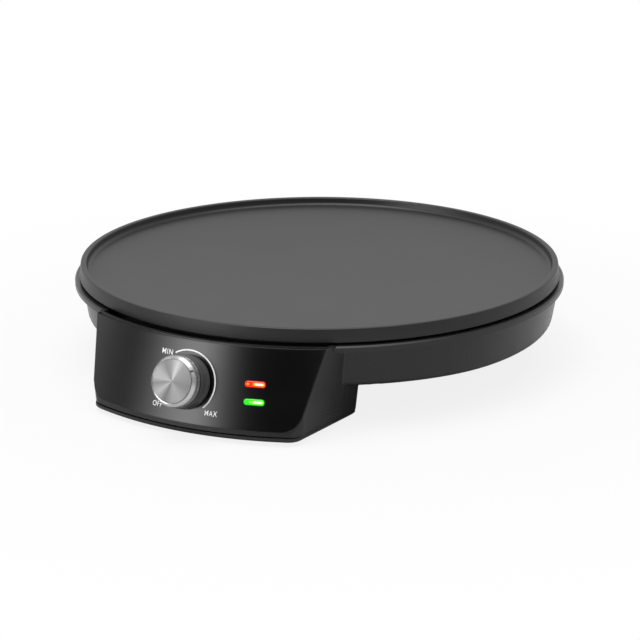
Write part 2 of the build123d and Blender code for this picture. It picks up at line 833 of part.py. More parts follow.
with BuildPart() as knob_body:
    with BuildSketch(knob_section_plane):
        with BuildLine():
            Polyline(
                (0, hub_start),
                (hub_radius, hub_start),
                (hub_radius, knob_skirt - knob_wall),
                (knob_radius - knob_wall, knob_skirt - knob_wall),
                (knob_radius - knob_wall, knob_gap),
                (knob_radius, knob_gap),
                (knob_front_radius, knob_skirt),
                (core_radius, knob_skirt),
                (core_radius, disc_seat),
                (0, disc_seat),
                close=True,
            )
        make_face()
    revolve(axis=knob_axis)
    with BuildSketch(knob_plane.offset(hub_start)):
        Circle(spindle_radius + fit_gap)
        with Locations((0, -spindle_radius)):
            Rectangle(4 * spindle_radius, 2 * (spindle_radius + spindle_flat + fit_gap), mode=Mode.INTERSECT)
    extrude(amount=spindle_end - hub_start + running_gap, mode=Mode.SUBTRACT)
save(knob_body, "knob_body")

with BuildPart() as knob_collar:
    # Knurled outline with straight-sided teeth.
    with BuildSketch(knob_plane.offset(knob_skirt)):
        with BuildLine():
            Polyline(
                *[
                    (
                        (collar_radius - index % 2 * tooth_depth) * cos(pi * index / collar_teeth),
                        (collar_radius - index % 2 * tooth_depth) * sin(pi * index / collar_teeth),
                    )
                    for index in range(2 * collar_teeth)
                ],
                close=True,
            )
        make_face()
        Circle(collar_radius - collar_wall, mode=Mode.SUBTRACT)
    extrude(amount=knob_depth - knob_skirt)
    with BuildSketch(knob_section_plane):
        with BuildLine():
            Polyline(
                (0, knob_skirt),
                (collar_radius - collar_chamfer / 2, knob_skirt),
                (collar_radius, knob_skirt + collar_chamfer / 2),
                (collar_radius, knob_depth - collar_chamfer),
                (collar_radius - collar_chamfer, knob_depth),
                (0, knob_depth),
                close=True,
            )
        make_face()
    revolve(axis=knob_axis, mode=Mode.INTERSECT)
save(knob_collar, "knob_collar")

with BuildPart() as knob_disc:
    with BuildSketch(knob_plane.offset(disc_seat)):
        Circle(core_radius)
    extrude(amount=disc_sheet)
    chamfer(knob_disc.faces().sort_by(knob_axis)[-1].edges(), disc_sheet / 4)
save(knob_disc, "knob_disc")

with BuildPart() as knob_clip:
    with BuildSketch(knob_plane.offset(hub_start + fit_gap)):
        Circle(hub_radius + fit_gap + clip_sheet)
        Circle(hub_radius + fit_gap, mode=Mode.SUBTRACT)
        with Locations((0, hub_radius)):
            Rectangle(clip_gap, 4 * clip_sheet, mode=Mode.SUBTRACT)
    extrude(amount=clip_width)
save(knob_clip, "knob_clip")

with BuildPart() as spindle:
    with BuildSketch(knob_plane.offset(spindle_rear)):
        Circle(shoulder_radius)
    extrude(amount=shoulder_width)
    with BuildSketch(knob_plane.offset(spindle_rear)):
        Circle(spindle_radius)
    extrude(amount=hub_start - spindle_rear)
    with BuildSketch(knob_plane.offset(hub_start)):
        Circle(spindle_radius)
        with Locations((0, -spindle_radius)):
            Rectangle(4 * spindle_radius, 2 * (spindle_radius + spindle_flat), mode=Mode.INTERSECT)
    extrude(amount=spindle_end - hub_start)
    with BuildSketch(knob_plane.offset(spindle_rear)):
        Circle(adjuster_radius + spindle_clearance)
    extrude(amount=adjuster_length + bore_spare, mode=Mode.SUBTRACT)
save(spindle, "spindle")

# ---------------------------------------------------------------- thermostat
mount_plate_shift = -stack_offset - insulator_radius + mount_plate_length / 2
foot_level = -plate_thickness - bracket_sheet / 2
step_level = foot_level - bracket_step_drop
leg_origin = knob_plane.offset(-bracket_depth).origin
leg_rise = (step_level - leg_origin.Z) / cos(lean)
leg_top_y = leg_origin.Y + leg_rise * sin(lean)

with BuildPart() as thermostat_bracket:
    # Strip bent from the foot under the plate to the leg behind the panel.
    with BuildLine(Plane.YZ) as strip_path:
        FilletPolyline(
            (-bracket_foot_far, foot_level),
            (-bracket_foot_near, foot_level),
            (-bracket_step_y, step_level),
            (leg_top_y, step_level),
            (leg_origin.Y, leg_origin.Z),
            radius=bracket_bend,
        )
    with BuildSketch(Plane(origin=strip_path.line @ 0, x_dir=(1, 0, 0), z_dir=strip_path.line % 0)):
        Rectangle(bracket_width, bracket_sheet)
    sweep()
    with BuildSketch(knob_plane.offset(bracket_rear)) as mount_plate:
        with Locations((mount_plate_shift, 0)):
            Rectangle(mount_plate_length, mount_plate_width)
        fillet(mount_plate.vertices(), mount_plate_width / 6)
    extrude(amount=bracket_sheet)
    # Ears that keep the adjuster from turning.
    ear_offset = adjuster_head_reach + running_gap + ear_sheet / 2
    with BuildSketch(knob_plane.offset(bracket_rear)):
        with Locations((0, -ear_offset), (0, ear_offset)):
            Rectangle(ear_width, ear_sheet)
    extrude(amount=-ear_reach)
    with BuildSketch(knob_plane.offset(bracket_rear)):
        Circle(bush_radius + fit_gap)
        with Locations((-stack_offset, 0)):
            Circle(rivet_radius + fit_gap)
    extrude(amount=bracket_sheet, mode=Mode.SUBTRACT)
    with BuildSketch(Plane.XY.offset(-plate_thickness - bracket_sheet)):
        with Locations((-bracket_width / 4, bracket_screw_y), (bracket_width / 4, bracket_screw_y)):
            Circle(small_screw_radius + screw_clearance)
    extrude(amount=bracket_sheet, mode=Mode.SUBTRACT)
save(thermostat_bracket, "thermostat_bracket")

with BuildPart() as bracket_screws:
    for side in (-1, 1):
        with Locations((side * bracket_width / 4, bracket_screw_y, -plate_thickness - bracket_sheet)):
            add(
                screw(
                    small_screw_radius,
                    bracket_sheet + plate_thickness / 2,
                    small_head_radius,
                    small_head_height,
                )
            )
save(bracket_screws, "bracket_screws")

with BuildPart() as thermostat_bush:
    with BuildSketch(knob_section_plane):
        with BuildLine():
            Polyline(
                (spindle_radius + spindle_clearance, bush_rear),
                (bush_radius, bush_rear),
                (bush_radius, bracket_front),
                (bush_flange_radius, bracket_front),
                (bush_flange_radius, bracket_front + bush_flange),
                (bush_radius, bracket_front + bush_flange),
                (bush_radius, bracket_front + bush_flange + bush_nose),
                (spindle_radius + spindle_clearance, bracket_front + bush_flange + bush_nose),
                close=True,
            )
        make_face()
    revolve(axis=knob_axis)
save(thermostat_bush, "thermostat_bush")

# The adjuster's threaded rod sits in the spindle, so it moves in and out as the knob turns.
head_front = spindle_rear - adjuster_gap
head_rear = head_front - adjuster_head
tip_rear = head_rear - tip_length
with BuildPart() as adjuster:
    with BuildSketch(knob_plane.offset(head_rear)):
        Rectangle(adjuster_head_width, 2 * adjuster_head_reach)
    extrude(amount=adjuster_head)
    with BuildSketch(knob_plane.offset(head_front)):
        Circle(adjuster_radius)
    extrude(amount=adjuster_length)
save(adjuster, "adjuster")

with BuildPart() as adjuster_tip:
    with BuildSketch(knob_plane.offset(head_rear)):
        Circle(tip_radius)
    extrude(amount=-tip_length)
    chamfer(adjuster_tip.edges().sort_by(knob_axis)[0], tip_radius / 3)
save(adjuster_tip, "adjuster_tip")

# Stack of blades and ceramic washers on one rivet, from the bracket inwards.
arm_front = tip_rear - running_gap
arm_rear = arm_front - blade_sheet
fixed_front = arm_rear - running_gap - insulator_step
fixed_rear = fixed_front - blade_sheet
bimetal_front = fixed_rear - insulator_step
bimetal_rear = bimetal_front - bimetal_sheet
stack_end = bimetal_rear - end_insulator
insulator_spans = [
    (bracket_rear, arm_front + running_gap),
    (arm_rear - running_gap, fixed_front),
    (fixed_rear, bimetal_front),
    (bimetal_rear, stack_end),
]
blade_length = stack_offset + insulator_radius + blade_reach
blade_shift = blade_reach - blade_length / 2

with BuildPart() as insulator_stack:
    for top, foot in insulator_spans:
        with BuildSketch(knob_plane.offset(foot)):
            with Locations((-stack_offset, 0)):
                Circle(insulator_radius)
                Circle(insulator_bore, mode=Mode.SUBTRACT)
        extrude(amount=top - foot)
save(insulator_stack, "insulator_stack")

with BuildPart() as stack_rivet:
    with BuildSketch(knob_plane.offset(bracket_front)):
        with Locations((-stack_offset, 0)):
            Circle(rivet_radius)
    extrude(amount=stack_end - bracket_front)
    for level, height in ((bracket_front, rivet_head), (stack_end, -rivet_head)):
        with BuildSketch(knob_plane.offset(level)):
            with Locations((-stack_offset, 0)):
                Circle(rivet_head_radius)
        extrude(amount=height)
save(stack_rivet, "stack_rivet")

with BuildPart() as contact_arm:
    with BuildSketch(knob_plane.offset(arm_rear)):
        with Locations((blade_shift, 0)):
            SlotOverall(blade_length, blade_width)
        with Locations((-stack_offset, 0)):
            Circle(rivet_radius + running_gap, mode=Mode.SUBTRACT)
    extrude(amount=blade_sheet)
    with BuildSketch(knob_plane.offset(arm_rear)):
        with Locations((contact_reach, 0)):
            Circle(contact_radius)
    extrude(amount=-arm_contact)
save(contact_arm, "contact_arm")

fixed_contact_top = arm_rear - arm_contact - contact_opening
with BuildPart() as fixed_contact:
    with BuildSketch(knob_plane.offset(fixed_rear)):
        with Locations((blade_shift - terminal_reach / 2, 0)):
            SlotOverall(blade_length + terminal_reach, blade_width)
        with Locations((-stack_offset, 0)):
            Circle(rivet_radius + fit_gap, mode=Mode.SUBTRACT)
    extrude(amount=blade_sheet)
    with BuildSketch(knob_plane.offset(fixed_front)):
        with Locations((contact_reach, 0)):
            Circle(contact_radius)
    extrude(amount=fixed_contact_top - fixed_front)
save(fixed_contact, "fixed_contact")

with BuildPart() as bimetal_strip:
    with BuildSketch(knob_plane.offset(bimetal_rear)):
        with Locations((blade_shift, 0)):
            SlotOverall(blade_length, blade_width)
        with Locations((-stack_offset, 0)):
            Circle(rivet_radius + fit_gap, mode=Mode.SUBTRACT)
    extrude(amount=bimetal_sheet)
save(bimetal_strip, "bimetal_strip")

# ---------------------------------------------------------------- pilot lights
for name, lens_plane in (("red_lens", red_plane), ("green_lens", green_plane)):
    with BuildPart() as lens:
        with BuildSketch(lens_plane.offset(-panel_thickness - lens_seat)):
            SlotOverall(lens_length, lens_width)
        extrude(amount=panel_thickness + lens_seat + lens_proud)
        chamfer(lens.faces().sort_by(Axis(lens_plane.origin, lens_plane.z_dir))[-1].edges(), lens_proud)
        with BuildSketch(lens_plane.offset(-panel_thickness - lens_seat)):
            SlotOverall(lens_length + 2 * lens_flange_margin, lens_width + 2 * lens_flange_margin)
        extrude(amount=-lens_flange)
    save(lens, name)

lamp_spacing = (lamp_height_green - lamp_height_red) / cos(lean)
lamp_plane = panel_plane(lamp_azimuth, panel_top - lamp_drop)
holder_front = -wall_back
with BuildPart() as lamp_holder:
    with BuildSketch(lamp_plane.offset(holder_front)) as holder_face:
        Rectangle(holder_width, lamp_spacing + pocket_height + 2 * holder_wall)
        fillet(holder_face.vertices(), holder_wall / 2)
    extrude(amount=-holder_depth)
    # Its front follows the inside of the wall.
    add(box_inside.part, mode=Mode.INTERSECT)
    with BuildSketch(lamp_plane.offset(holder_front)):
        with GridLocations(holder_width, lamp_spacing, 1, 2):
            Rectangle(pocket_width, pocket_height)
    extrude(amount=-holder_pocket, mode=Mode.SUBTRACT)
save(lamp_holder, "lamp_holder")

with BuildPart() as neon_lamps:
    neon_plane = lamp_plane.offset(holder_front - holder_pocket + neon_radius + fit_gap)
    for side in (-1, 1):
        end = neon_plane.from_local_coords((-neon_length / 2, side * lamp_spacing / 2, 0))
        with BuildSketch(Plane(origin=end, z_dir=lamp_plane.x_dir)):
            Circle(neon_radius)
        extrude(amount=neon_length)
    chamfer(neon_lamps.edges(), neon_radius / 3)
save(neon_lamps, "neon_lamps")

# ---------------------------------------------------------------- wiring fittings
with BuildPart() as cord_gland:
    with BuildSketch(gland_plane):
        RectangleRounded(gland_neck, gland_neck, gland_corner)
    extrude(amount=-shell_wall - gland_tail)
    with BuildSketch(gland_plane):
        Circle(gland_flange_radius)
    extrude(amount=gland_flange)
    chamfer(cord_gland.edges().sort_by(Axis.Y)[-1], gland_flange / 3)
    with BuildSketch(gland_plane.offset(-shell_wall)):
        Circle(gland_flange_radius)
    extrude(amount=-gland_flange)
    with BuildSketch(gland_plane.offset(gland_flange)):
        Circle(gland_bore)
    extrude(amount=-gland_flange - shell_wall - gland_tail, mode=Mode.SUBTRACT)
save(cord_gland, "cord_gland")

block_top = box_foot + block_height
block_x = block_inset - box_half_width
block_y = block_setback - panel_radius
block_holes = [(block_x, block_y + block_pitch * index) for index in (-1, 0, 1)]
with BuildPart() as terminal_block:
    with BuildSketch(Plane.XY.offset(box_foot)) as block_outline:
        with Locations((block_x, block_y)):
            Rectangle(block_width, block_length)
        fillet(block_outline.vertices(), block_screw_radius)
    extrude(amount=block_height)
    with BuildSketch(Plane.XY.offset(block_top)):
        with Locations(*block_holes):
            Circle(block_screw_radius + fit_gap)
    extrude(amount=-block_height / 2, mode=Mode.SUBTRACT)
    with BuildSketch(Plane.YZ.offset(block_x - block_width)):
        with Locations(*[(y, box_foot + block_height * 0.4) for x, y in block_holes]):
            Circle(block_hole_radius)
    extrude(amount=2 * block_width, mode=Mode.SUBTRACT)
save(terminal_block, "terminal_block")

with BuildPart() as terminal_screws:
    for x, y in block_holes:
        with Locations(Plane(origin=(x, y, block_top), z_dir=(0, 0, -1))):
            add(screw(block_screw_radius, block_height * 0.4, block_screw_radius * 1.6, block_screw_radius))
save(terminal_screws, "terminal_screws")

strap_level = -plate_thickness - strap_sheet / 2
fuse_level = -plate_thickness - fuse_radius - fit_gap
strap_foot_x = fuse_screw_x + strap_width / 2
strap_under = fuse_level - fuse_radius - fit_gap - strap_sheet / 2
with BuildPart() as thermal_fuse:
    with BuildSketch(Plane.XZ.offset(-fuse_circle + fuse_length / 2)) as fuse_end:
        with Locations((0, fuse_level)):
            Circle(fuse_radius)
    extrude(amount=-fuse_length)
    chamfer(thermal_fuse.edges(), fuse_radius / 4)
save(thermal_fuse, "thermal_fuse")

with BuildPart() as fuse_strap:
    with BuildLine(Plane.XZ.offset(-fuse_circle)) as strap_path:
        FilletPolyline(
            (-strap_foot_x, strap_level),
            (-2.4 * fuse_radius, strap_level),
            (-1.5 * fuse_radius, strap_under),
            (1.5 * fuse_radius, strap_under),
            (2.4 * fuse_radius, strap_level),
            (strap_foot_x, strap_level),
            radius=2 * strap_sheet,
        )
    with BuildSketch(Plane(origin=strap_path.line @ 0, x_dir=(0, 1, 0), z_dir=strap_path.line % 0)):
        Rectangle(strap_width, strap_sheet)
    sweep()
    with BuildSketch(Plane.XY.offset(-plate_thickness)):
        with Locations((-fuse_screw_x, fuse_circle), (fuse_screw_x, fuse_circle)):
            Circle(small_screw_radius + fit_gap)
    extrude(amount=-strap_sheet, mode=Mode.SUBTRACT)
save(fuse_strap, "fuse_strap")

with BuildPart() as earth_tag:
    with BuildSketch(Plane.XY.offset(-plate_thickness)):
        with Locations((earth_x, earth_y)):
            Circle(earth_ring_radius)
        with Locations((earth_x, earth_y - earth_ring_radius - tab_width / 2)):
            Rectangle(tab_width, 2 * tab_width)
        with Locations((earth_x, earth_y)):
            Circle(small_screw_radius + fit_gap, mode=Mode.SUBTRACT)
    extrude(amount=-tab_thickness)
save(earth_tag, "earth_tag")

with BuildPart() as plate_fittings_screws:
    for x, y, sheet in (
        (-fuse_screw_x, fuse_circle, strap_sheet),
        (fuse_screw_x, fuse_circle, strap_sheet),
        (earth_x, earth_y, tab_thickness),
    ):
        with Locations((x, y, -plate_thickness - sheet)):
            add(screw(small_screw_radius, sheet + plate_thickness / 2, small_head_radius, small_head_height))
save(plate_fittings_screws, "fuse_and_earth_screws")
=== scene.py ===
# %% [markdown]
# # An electric crepe maker in Blender
# The machine's solids come from CAD as a fixed frame. Each cell below either models one piece over
# them or mixes one finish. Everything is in metres, +Z is up and the control box faces -Y.

import json
from math import atan2, cos, pi, radians, sin, tan

import bmesh
import bpy
from mathutils import Matrix, Vector


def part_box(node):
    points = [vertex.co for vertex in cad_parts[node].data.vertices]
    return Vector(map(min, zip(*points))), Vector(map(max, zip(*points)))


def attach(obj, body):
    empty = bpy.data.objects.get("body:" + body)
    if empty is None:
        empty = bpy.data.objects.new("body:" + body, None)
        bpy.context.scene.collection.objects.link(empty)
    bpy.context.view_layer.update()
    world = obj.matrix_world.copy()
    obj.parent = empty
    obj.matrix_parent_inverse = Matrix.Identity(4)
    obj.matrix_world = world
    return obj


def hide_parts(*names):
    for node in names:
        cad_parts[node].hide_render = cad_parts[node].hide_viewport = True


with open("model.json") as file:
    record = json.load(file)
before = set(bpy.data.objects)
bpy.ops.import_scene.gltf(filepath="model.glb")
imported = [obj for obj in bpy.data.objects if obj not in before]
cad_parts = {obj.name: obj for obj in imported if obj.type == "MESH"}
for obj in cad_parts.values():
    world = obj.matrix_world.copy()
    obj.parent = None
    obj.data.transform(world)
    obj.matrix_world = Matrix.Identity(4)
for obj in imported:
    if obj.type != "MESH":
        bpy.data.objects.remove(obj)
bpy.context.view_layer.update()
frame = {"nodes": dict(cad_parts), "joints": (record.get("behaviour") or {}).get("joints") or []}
nodes = frame["nodes"]

# %% [markdown]
# ## Driving sizes
# These are the sizes that several pieces share. The knob's centre and the floor's level are read
# from the frame, so that the dressed pieces stay on the solids that carry them.

# %% Shared sizes
mm = 0.001
rim_radius = 154.0 * mm
rim_height = 5.0 * mm
plate_thickness = 5.0 * mm
skirt_radius = 155.2 * mm
skirt_foot = -3.5 * mm
panel_top = -3.8 * mm
panel_radius = 164.8 * mm
panel_height = 45.8 * mm
panel_foot = panel_top - panel_height
panel_lean = radians(18.6)
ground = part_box("front_feet")[0].z

knob_joint = next(joint for joint in frame["joints"] if joint["name"] == "knob_turn")
knob_centre = Vector(knob_joint["pos_m"])
print("knob centre in mm:", [round(value / mm, 2) for value in knob_centre])

# %% [markdown]
# ## Places on the fascia
# The knob, the lamps and the dial all sit on a cone that leans back. One function gives the place
# of any point on it, with X to the right, Y up the fascia and Z straight out of it.


# %% Places on the fascia
def reach_at(height):
    """How far the leaning fascia is from the plate's axis at one height."""
    return panel_radius + (panel_top - height) * tan(panel_lean)


def on_fascia(azimuth, height):
    """The place of a point on the fascia, as a matrix."""
    right = Vector((cos(azimuth), sin(azimuth), 0))
    outward = Vector((sin(azimuth) * cos(panel_lean), -cos(azimuth) * cos(panel_lean), sin(panel_lean)))
    spot = Matrix((right, outward.cross(right), outward)).transposed().to_4x4()
    spot.translation = (reach_at(height) * sin(azimuth), -reach_at(height) * cos(azimuth), height)
    return spot


knob_place = on_fascia(0, knob_centre.z)
lamp_azimuth = radians(14.2)
red_place = on_fascia(lamp_azimuth, panel_top - 20.2 * mm)
green_place = on_fascia(lamp_azimuth, panel_top - 30.0 * mm)
print("knob on the fascia:", (knob_place.translation - knob_centre).length < 0.1 * mm)

# %% [markdown]
# ## Working by hand
# Operators act on whatever is selected, and the imported solids are still selected. So each piece
# starts from nothing selected. These helpers do what a hand does with the mouse: start a primitive,
# pick corners by their place, and leave edit mode again.


# %% Helpers for selecting and finishing
def nothing_selected():
    """Leave edit mode and drop every selection."""
    if bpy.context.mode != "OBJECT":
        bpy.ops.object.mode_set(mode="OBJECT")
    bpy.ops.object.select_all(action="DESELECT")


def only(piece):
    """Make one object the selected and active one."""
    nothing_selected()
    piece.select_set(True)
    bpy.context.view_layer.objects.active = piece
    return piece


def pick(kind, test):
    """In edit mode, select exactly the verts, edges or faces that pass a test."""
    mesh = bmesh.from_edit_mesh(bpy.context.edit_object.data)
    bpy.ops.mesh.select_mode(type={"verts": "VERT", "edges": "EDGE", "faces": "FACE"}[kind])
    bpy.ops.mesh.select_all(action="DESELECT")
    chosen = [element for element in getattr(mesh, kind) if test(element)]
    for element in chosen:
        element.select_set(True)
    mesh.select_flush(True)
    bmesh.update_edit_mesh(bpy.context.edit_object.data)
    return len(chosen)


def close_up(piece, angle=35):
    """Merge doubles, turn every face outwards and shade the soft edges smooth."""
    only(piece)
    bpy.ops.object.mode_set(mode="EDIT")
    bpy.ops.mesh.select_all(action="SELECT")
    bpy.ops.mesh.remove_doubles(threshold=0.002 * mm)
    bpy.ops.mesh.normals_make_consistent(inside=False)
    bpy.ops.object.mode_set(mode="OBJECT")
    bpy.ops.object.shade_smooth_by_angle(angle=radians(angle))
    return piece


def apply_modifier(piece, kind, **settings):
    """Add a modifier and apply it at once."""
    only(piece)
    modifier = piece.modifiers.new(kind.title(), kind)
    for name, value in settings.items():
        setattr(modifier, name, value)
    bpy.ops.object.modifier_apply(modifier=modifier.name)


def place(piece, matrix):
    """Move a finished piece to its place and put that place into its mesh."""
    only(piece)
    piece.matrix_world = matrix
    bpy.ops.object.transform_apply(location=True, rotation=True, scale=True)
    return piece


def join(pieces):
    """Join several objects into the first one."""
    only(pieces[0])
    for piece in pieces[1:]:
        piece.select_set(True)
    bpy.ops.object.join()
    return pieces[0]


def told(piece, body, slot, *replaced):
    """Attach a finished piece to its body and hide the solids that it replaces. The slot is not used."""
    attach(piece, body)
    if replaced:
        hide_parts(*replaced)
    print(piece.name, len(piece.data.polygons), "faces")
    return piece


# %% [markdown]
# ## Turned pieces
# A plate, a knob and a dial are round, so a lathe is the natural tool. The outline of one half is
# drawn by extruding a single point, its corners are rounded with a vertex bevel, and Spin carries
# it round the axis. That keeps even, quad faces, which reflect cleanly.


# %% Helper that turns an outline
def first_point(name, x, z):
    """A new object with a single point, left in edit mode."""
    nothing_selected()
    bpy.ops.mesh.primitive_plane_add(size=mm, location=(0, 0, 0))
    bpy.context.active_object.name = name
    bpy.ops.object.mode_set(mode="EDIT")
    bpy.ops.mesh.merge(type="CENTER")
    bpy.ops.transform.translate(value=(x, 0, z))
    return bpy.context.active_object


def turned(name, outline, steps=256, closed=False):
    """Spin an outline of (radius, height, corner radius) round Z."""
    piece = first_point(name, outline[0][0], outline[0][1])
    for before, after in zip(outline, outline[1:]):
        step = (after[0] - before[0], 0, after[1] - before[1])
        bpy.ops.mesh.extrude_vertices_move(TRANSFORM_OT_translate={"value": step})
    if closed:
        ends = (outline[0], outline[-1])
        pick("verts", lambda v: any(abs(v.co.x - e[0]) + abs(v.co.z - e[1]) < 1e-7 for e in ends))
        bpy.ops.mesh.edge_face_add()
    for index, (x, z, corner) in enumerate(outline):
        if corner:
            pick("verts", lambda v: abs(v.co.x - x) + abs(v.co.z - z) < 1e-6)
            before, after = outline[index - 1], outline[(index + 1) % len(outline)]
            into = Vector((x - before[0], z - before[1])).normalized()
            out = Vector((after[0] - x, after[1] - z)).normalized()
            bpy.ops.mesh.bevel(affect="VERTICES", offset=corner * tan(into.angle(out) / 2), segments=6)
    bpy.ops.mesh.select_all(action="SELECT")
    bpy.ops.mesh.spin(steps=steps, angle=2 * pi, center=(0, 0, 0), axis=(0, 0, 1))
    return close_up(piece)


# %% [markdown]
# ## Writing shader maths
# A finish is easier to read as a formula than as a tangle of nodes. A Wire stands for one output
# socket, and plus, minus, times and so on add the Math node that does the sum.


# %% The Wire and Finish classes
class Wire:
    """One output socket of a material, which can be used in sums."""

    def __init__(self, finish, socket):
        self.finish = finish
        self.socket = socket

    def maths(self, operation, *values):
        """The result of a Math node on the given values."""
        return self.finish.add("ShaderNodeMath", {"operation": operation}, dict(enumerate(values)))

    def __add__(self, other):
        return self.maths("ADD", self, other)

    __radd__ = __add__

    def __sub__(self, other):
        return self.maths("SUBTRACT", self, other)

    def __rsub__(self, other):
        return self.maths("SUBTRACT", other, self)

    def __mul__(self, other):
        return self.maths("MULTIPLY", self, other)

    __rmul__ = __mul__

    def __truediv__(self, other):
        return self.maths("DIVIDE", self, other)

    def __pow__(self, other):
        return self.maths("POWER", self, other)

    def __abs__(self):
        return self.maths("ABSOLUTE", self)

    def sine(self):
        return self.maths("SINE", self)

    def bell(self):
        """1 at zero, fading softly to both sides."""
        return self.maths("EXPONENT", self * self * -1)

    def at_least(self, other):
        return self.maths("MAXIMUM", self, other)

    def step(self, low, high):
        """0 below low, 1 above high, and a soft rise between them."""
        settings = {"interpolation_type": "SMOOTHSTEP"}
        return self.finish.add("ShaderNodeMapRange", settings, {0: self, 1: low, 2: high, 3: 0.0, 4: 1.0})


class Finish:
    """A material and the few nodes that every finish starts with."""

    def __init__(self, name, tree=None):
        if tree is None:
            self.material = bpy.data.materials.new(name)
            self.material.use_nodes = True
            tree = self.material.node_tree
        self.tree = tree
        self.tree.nodes.clear()

    def add(self, kind, settings=None, sockets=None, output=0):
        """Add a node: its settings first, then the values or wires of its sockets."""
        node = self.tree.nodes.new(kind)
        for name, value in (settings or {}).items():
            if name == "stops":
                ramp = node.color_ramp
                while len(ramp.elements) < len(value):
                    ramp.elements.new(1.0)
                for element, (position, grey) in zip(ramp.elements, value):
                    element.position = position
                    element.color = (grey, grey, grey, 1)
            else:
                setattr(node, name, value)
        for name, value in (sockets or {}).items():
            if isinstance(value, Wire):
                self.tree.links.new(value.socket, node.inputs[name])
            else:
                node.inputs[name].default_value = value
        return Wire(self, node.outputs[output])

    def place(self, centre=(0, 0, 0), turn=(0, 0, 0)):
        """The Object coordinates, centred and turned for one piece."""
        here = self.add("ShaderNodeTexCoord", output="Object")
        sockets = {"Vector": here, "Location": centre, "Rotation": turn}
        return self.add("ShaderNodeMapping", {"vector_type": "TEXTURE"}, sockets)

    def flat(self, spot):
        """Object coordinates across a place on the fascia: to the right, up it and out of it."""
        where = self.place(tuple(spot.translation), tuple(spot.to_euler()))
        return [self.add("ShaderNodeSeparateXYZ", {}, {0: where}, output=axis) for axis in "XYZ"]

    def noise(self, where, scale, detail=3.0, rough=0.5):
        """Cloudy noise from 0 to 1, its scale counted in bumps per metre."""
        sockets = {"Vector": where, "Scale": scale, "Detail": detail, "Roughness": rough}
        return self.add("ShaderNodeTexNoise", {}, sockets)

    def blend(self, factor, first, second):
        """Mix two colours."""
        colours = [(*c, 1) if isinstance(c, tuple) else c for c in (first, second)]
        settings = {"data_type": "RGBA"}
        return self.add("ShaderNodeMix", settings, {0: factor, 6: colours[0], 7: colours[1]}, output=2)

    def bump(self, height, distance, strength=1.0):
        """A normal from a height map; the distance is the real depth of its relief."""
        return self.add("ShaderNodeBump", {}, {"Height": height, "Distance": distance, "Strength": strength})

    def surface(self, **sockets):
        """The surface shader and the material's output."""
        named = {name.replace("_", " "): value for name, value in sockets.items()}
        for name, value in named.items():
            if isinstance(value, tuple) and len(value) == 3 and "Color" in name:
                named[name] = (*value, 1)
        shader = self.add("ShaderNodeBsdfPrincipled", {}, named)
        self.add_output(shader)
        return self.material

    def add_output(self, shader, kind="ShaderNodeOutputMaterial"):
        """End the tree with a shader."""
        node = self.tree.nodes.new(kind)
        self.tree.links.new(shader.socket, node.inputs["Surface"])


def paint(piece, material):
    """Give a piece, or a solid's own slots, one material."""
    if not piece.material_slots:
        piece.data.materials.append(material)
    for slot in piece.material_slots:
        slot.material = material


# %% [markdown]
# ## Floor, light and camera
# A plain pale floor lies under the feet. The room is pale overhead, at the sides and behind, and dark
# in front, as in a studio with a black curtain there. Black plastic has no colour of its own to show,
# so its shape is drawn by what it mirrors: one soft glow, low at the front left, gives the bright band
# on the glossy fascia, and the dark room beside it gives the black. The room is a formula of the
# direction alone. Its bearing counts from the front, positive to the right.

# %% Room
scene = bpy.context.scene
scene.view_settings.view_transform = "Standard"
world = bpy.data.worlds.new("studio")
scene.world = world
world.use_nodes = True
room = Finish("studio", world.node_tree)
look = room.add("ShaderNodeTexCoord", output="Generated")  # in a world this is the direction
aside, behind, aloft = [room.add("ShaderNodeSeparateXYZ", {}, {0: look}, output=axis) for axis in "XYZ"]
bearing = aside.maths("ARCTAN2", aside, behind * -1)
dark_front = 0.02
pale_side = 0.8
pale_aloft = 0.6
bright_zenith = 3.0
glow_bearing = radians(-26)
glow_level = 5.4
beside = 0.45 * bearing.step(radians(18), radians(50)) + 0.55 * bearing.step(radians(70), radians(130))
beside = beside + (1 - bearing.step(radians(-85), radians(-45)))
level = dark_front + (pale_side - dark_front) * beside
level = level + aloft.step(0.42, 0.7) * (pale_aloft - level)
level = level + aloft.step(0.82, 0.93) * (bright_zenith - level)
# The glow fades more slowly on its left than on its right, and stays below head height.
past = bearing - glow_bearing
fade = past.at_least(0.0) / radians(12) + (past * -1).at_least(0.0) / radians(18)
height = aloft.step(-0.1, 0.08) * (1 - aloft.step(0.34, 0.6))
level = level + glow_level * height * fade.bell()
seen = room.add("ShaderNodeLightPath", output="Is Camera Ray")
seen = seen.at_least(room.add("ShaderNodeLightPath", output="Is Transmission Ray"))
strength = level + seen * (1 - level)
backdrop = room.add("ShaderNodeBackground", {}, {"Color": (1, 1, 1, 1), "Strength": strength})
room.add_output(backdrop, "ShaderNodeOutputWorld")


# %% [markdown]
# One large soft box hangs above and a little in front. It gives the soft shadow under the machine and
# the fine highlights along the rim. Area lights are set by their power, so a small helper works it
# out from the brightness that is wanted.


# %% Soft box
def soft_box(name, place_at, aim, width, height, radiance):
    """An area light of a given radiance, so that its reflection has a known level."""
    nothing_selected()
    bpy.ops.object.light_add(type="AREA", location=place_at)
    lamp = bpy.context.active_object
    lamp.name = name
    lamp.rotation_euler = (Vector(aim) - Vector(place_at)).to_track_quat("-Z", "Y").to_euler()
    lamp.data.shape = "RECTANGLE"
    lamp.data.size = width
    lamp.data.size_y = height
    lamp.data.energy = radiance * pi * width * height
    return lamp


soft_box("top_box", (-0.2, -0.5, 1.45), (0, 0, 0), 0.8, 0.55, 6.0)

# %% [markdown]
# The camera stands to the right of the front and looks about 18 degrees down through a long lens.

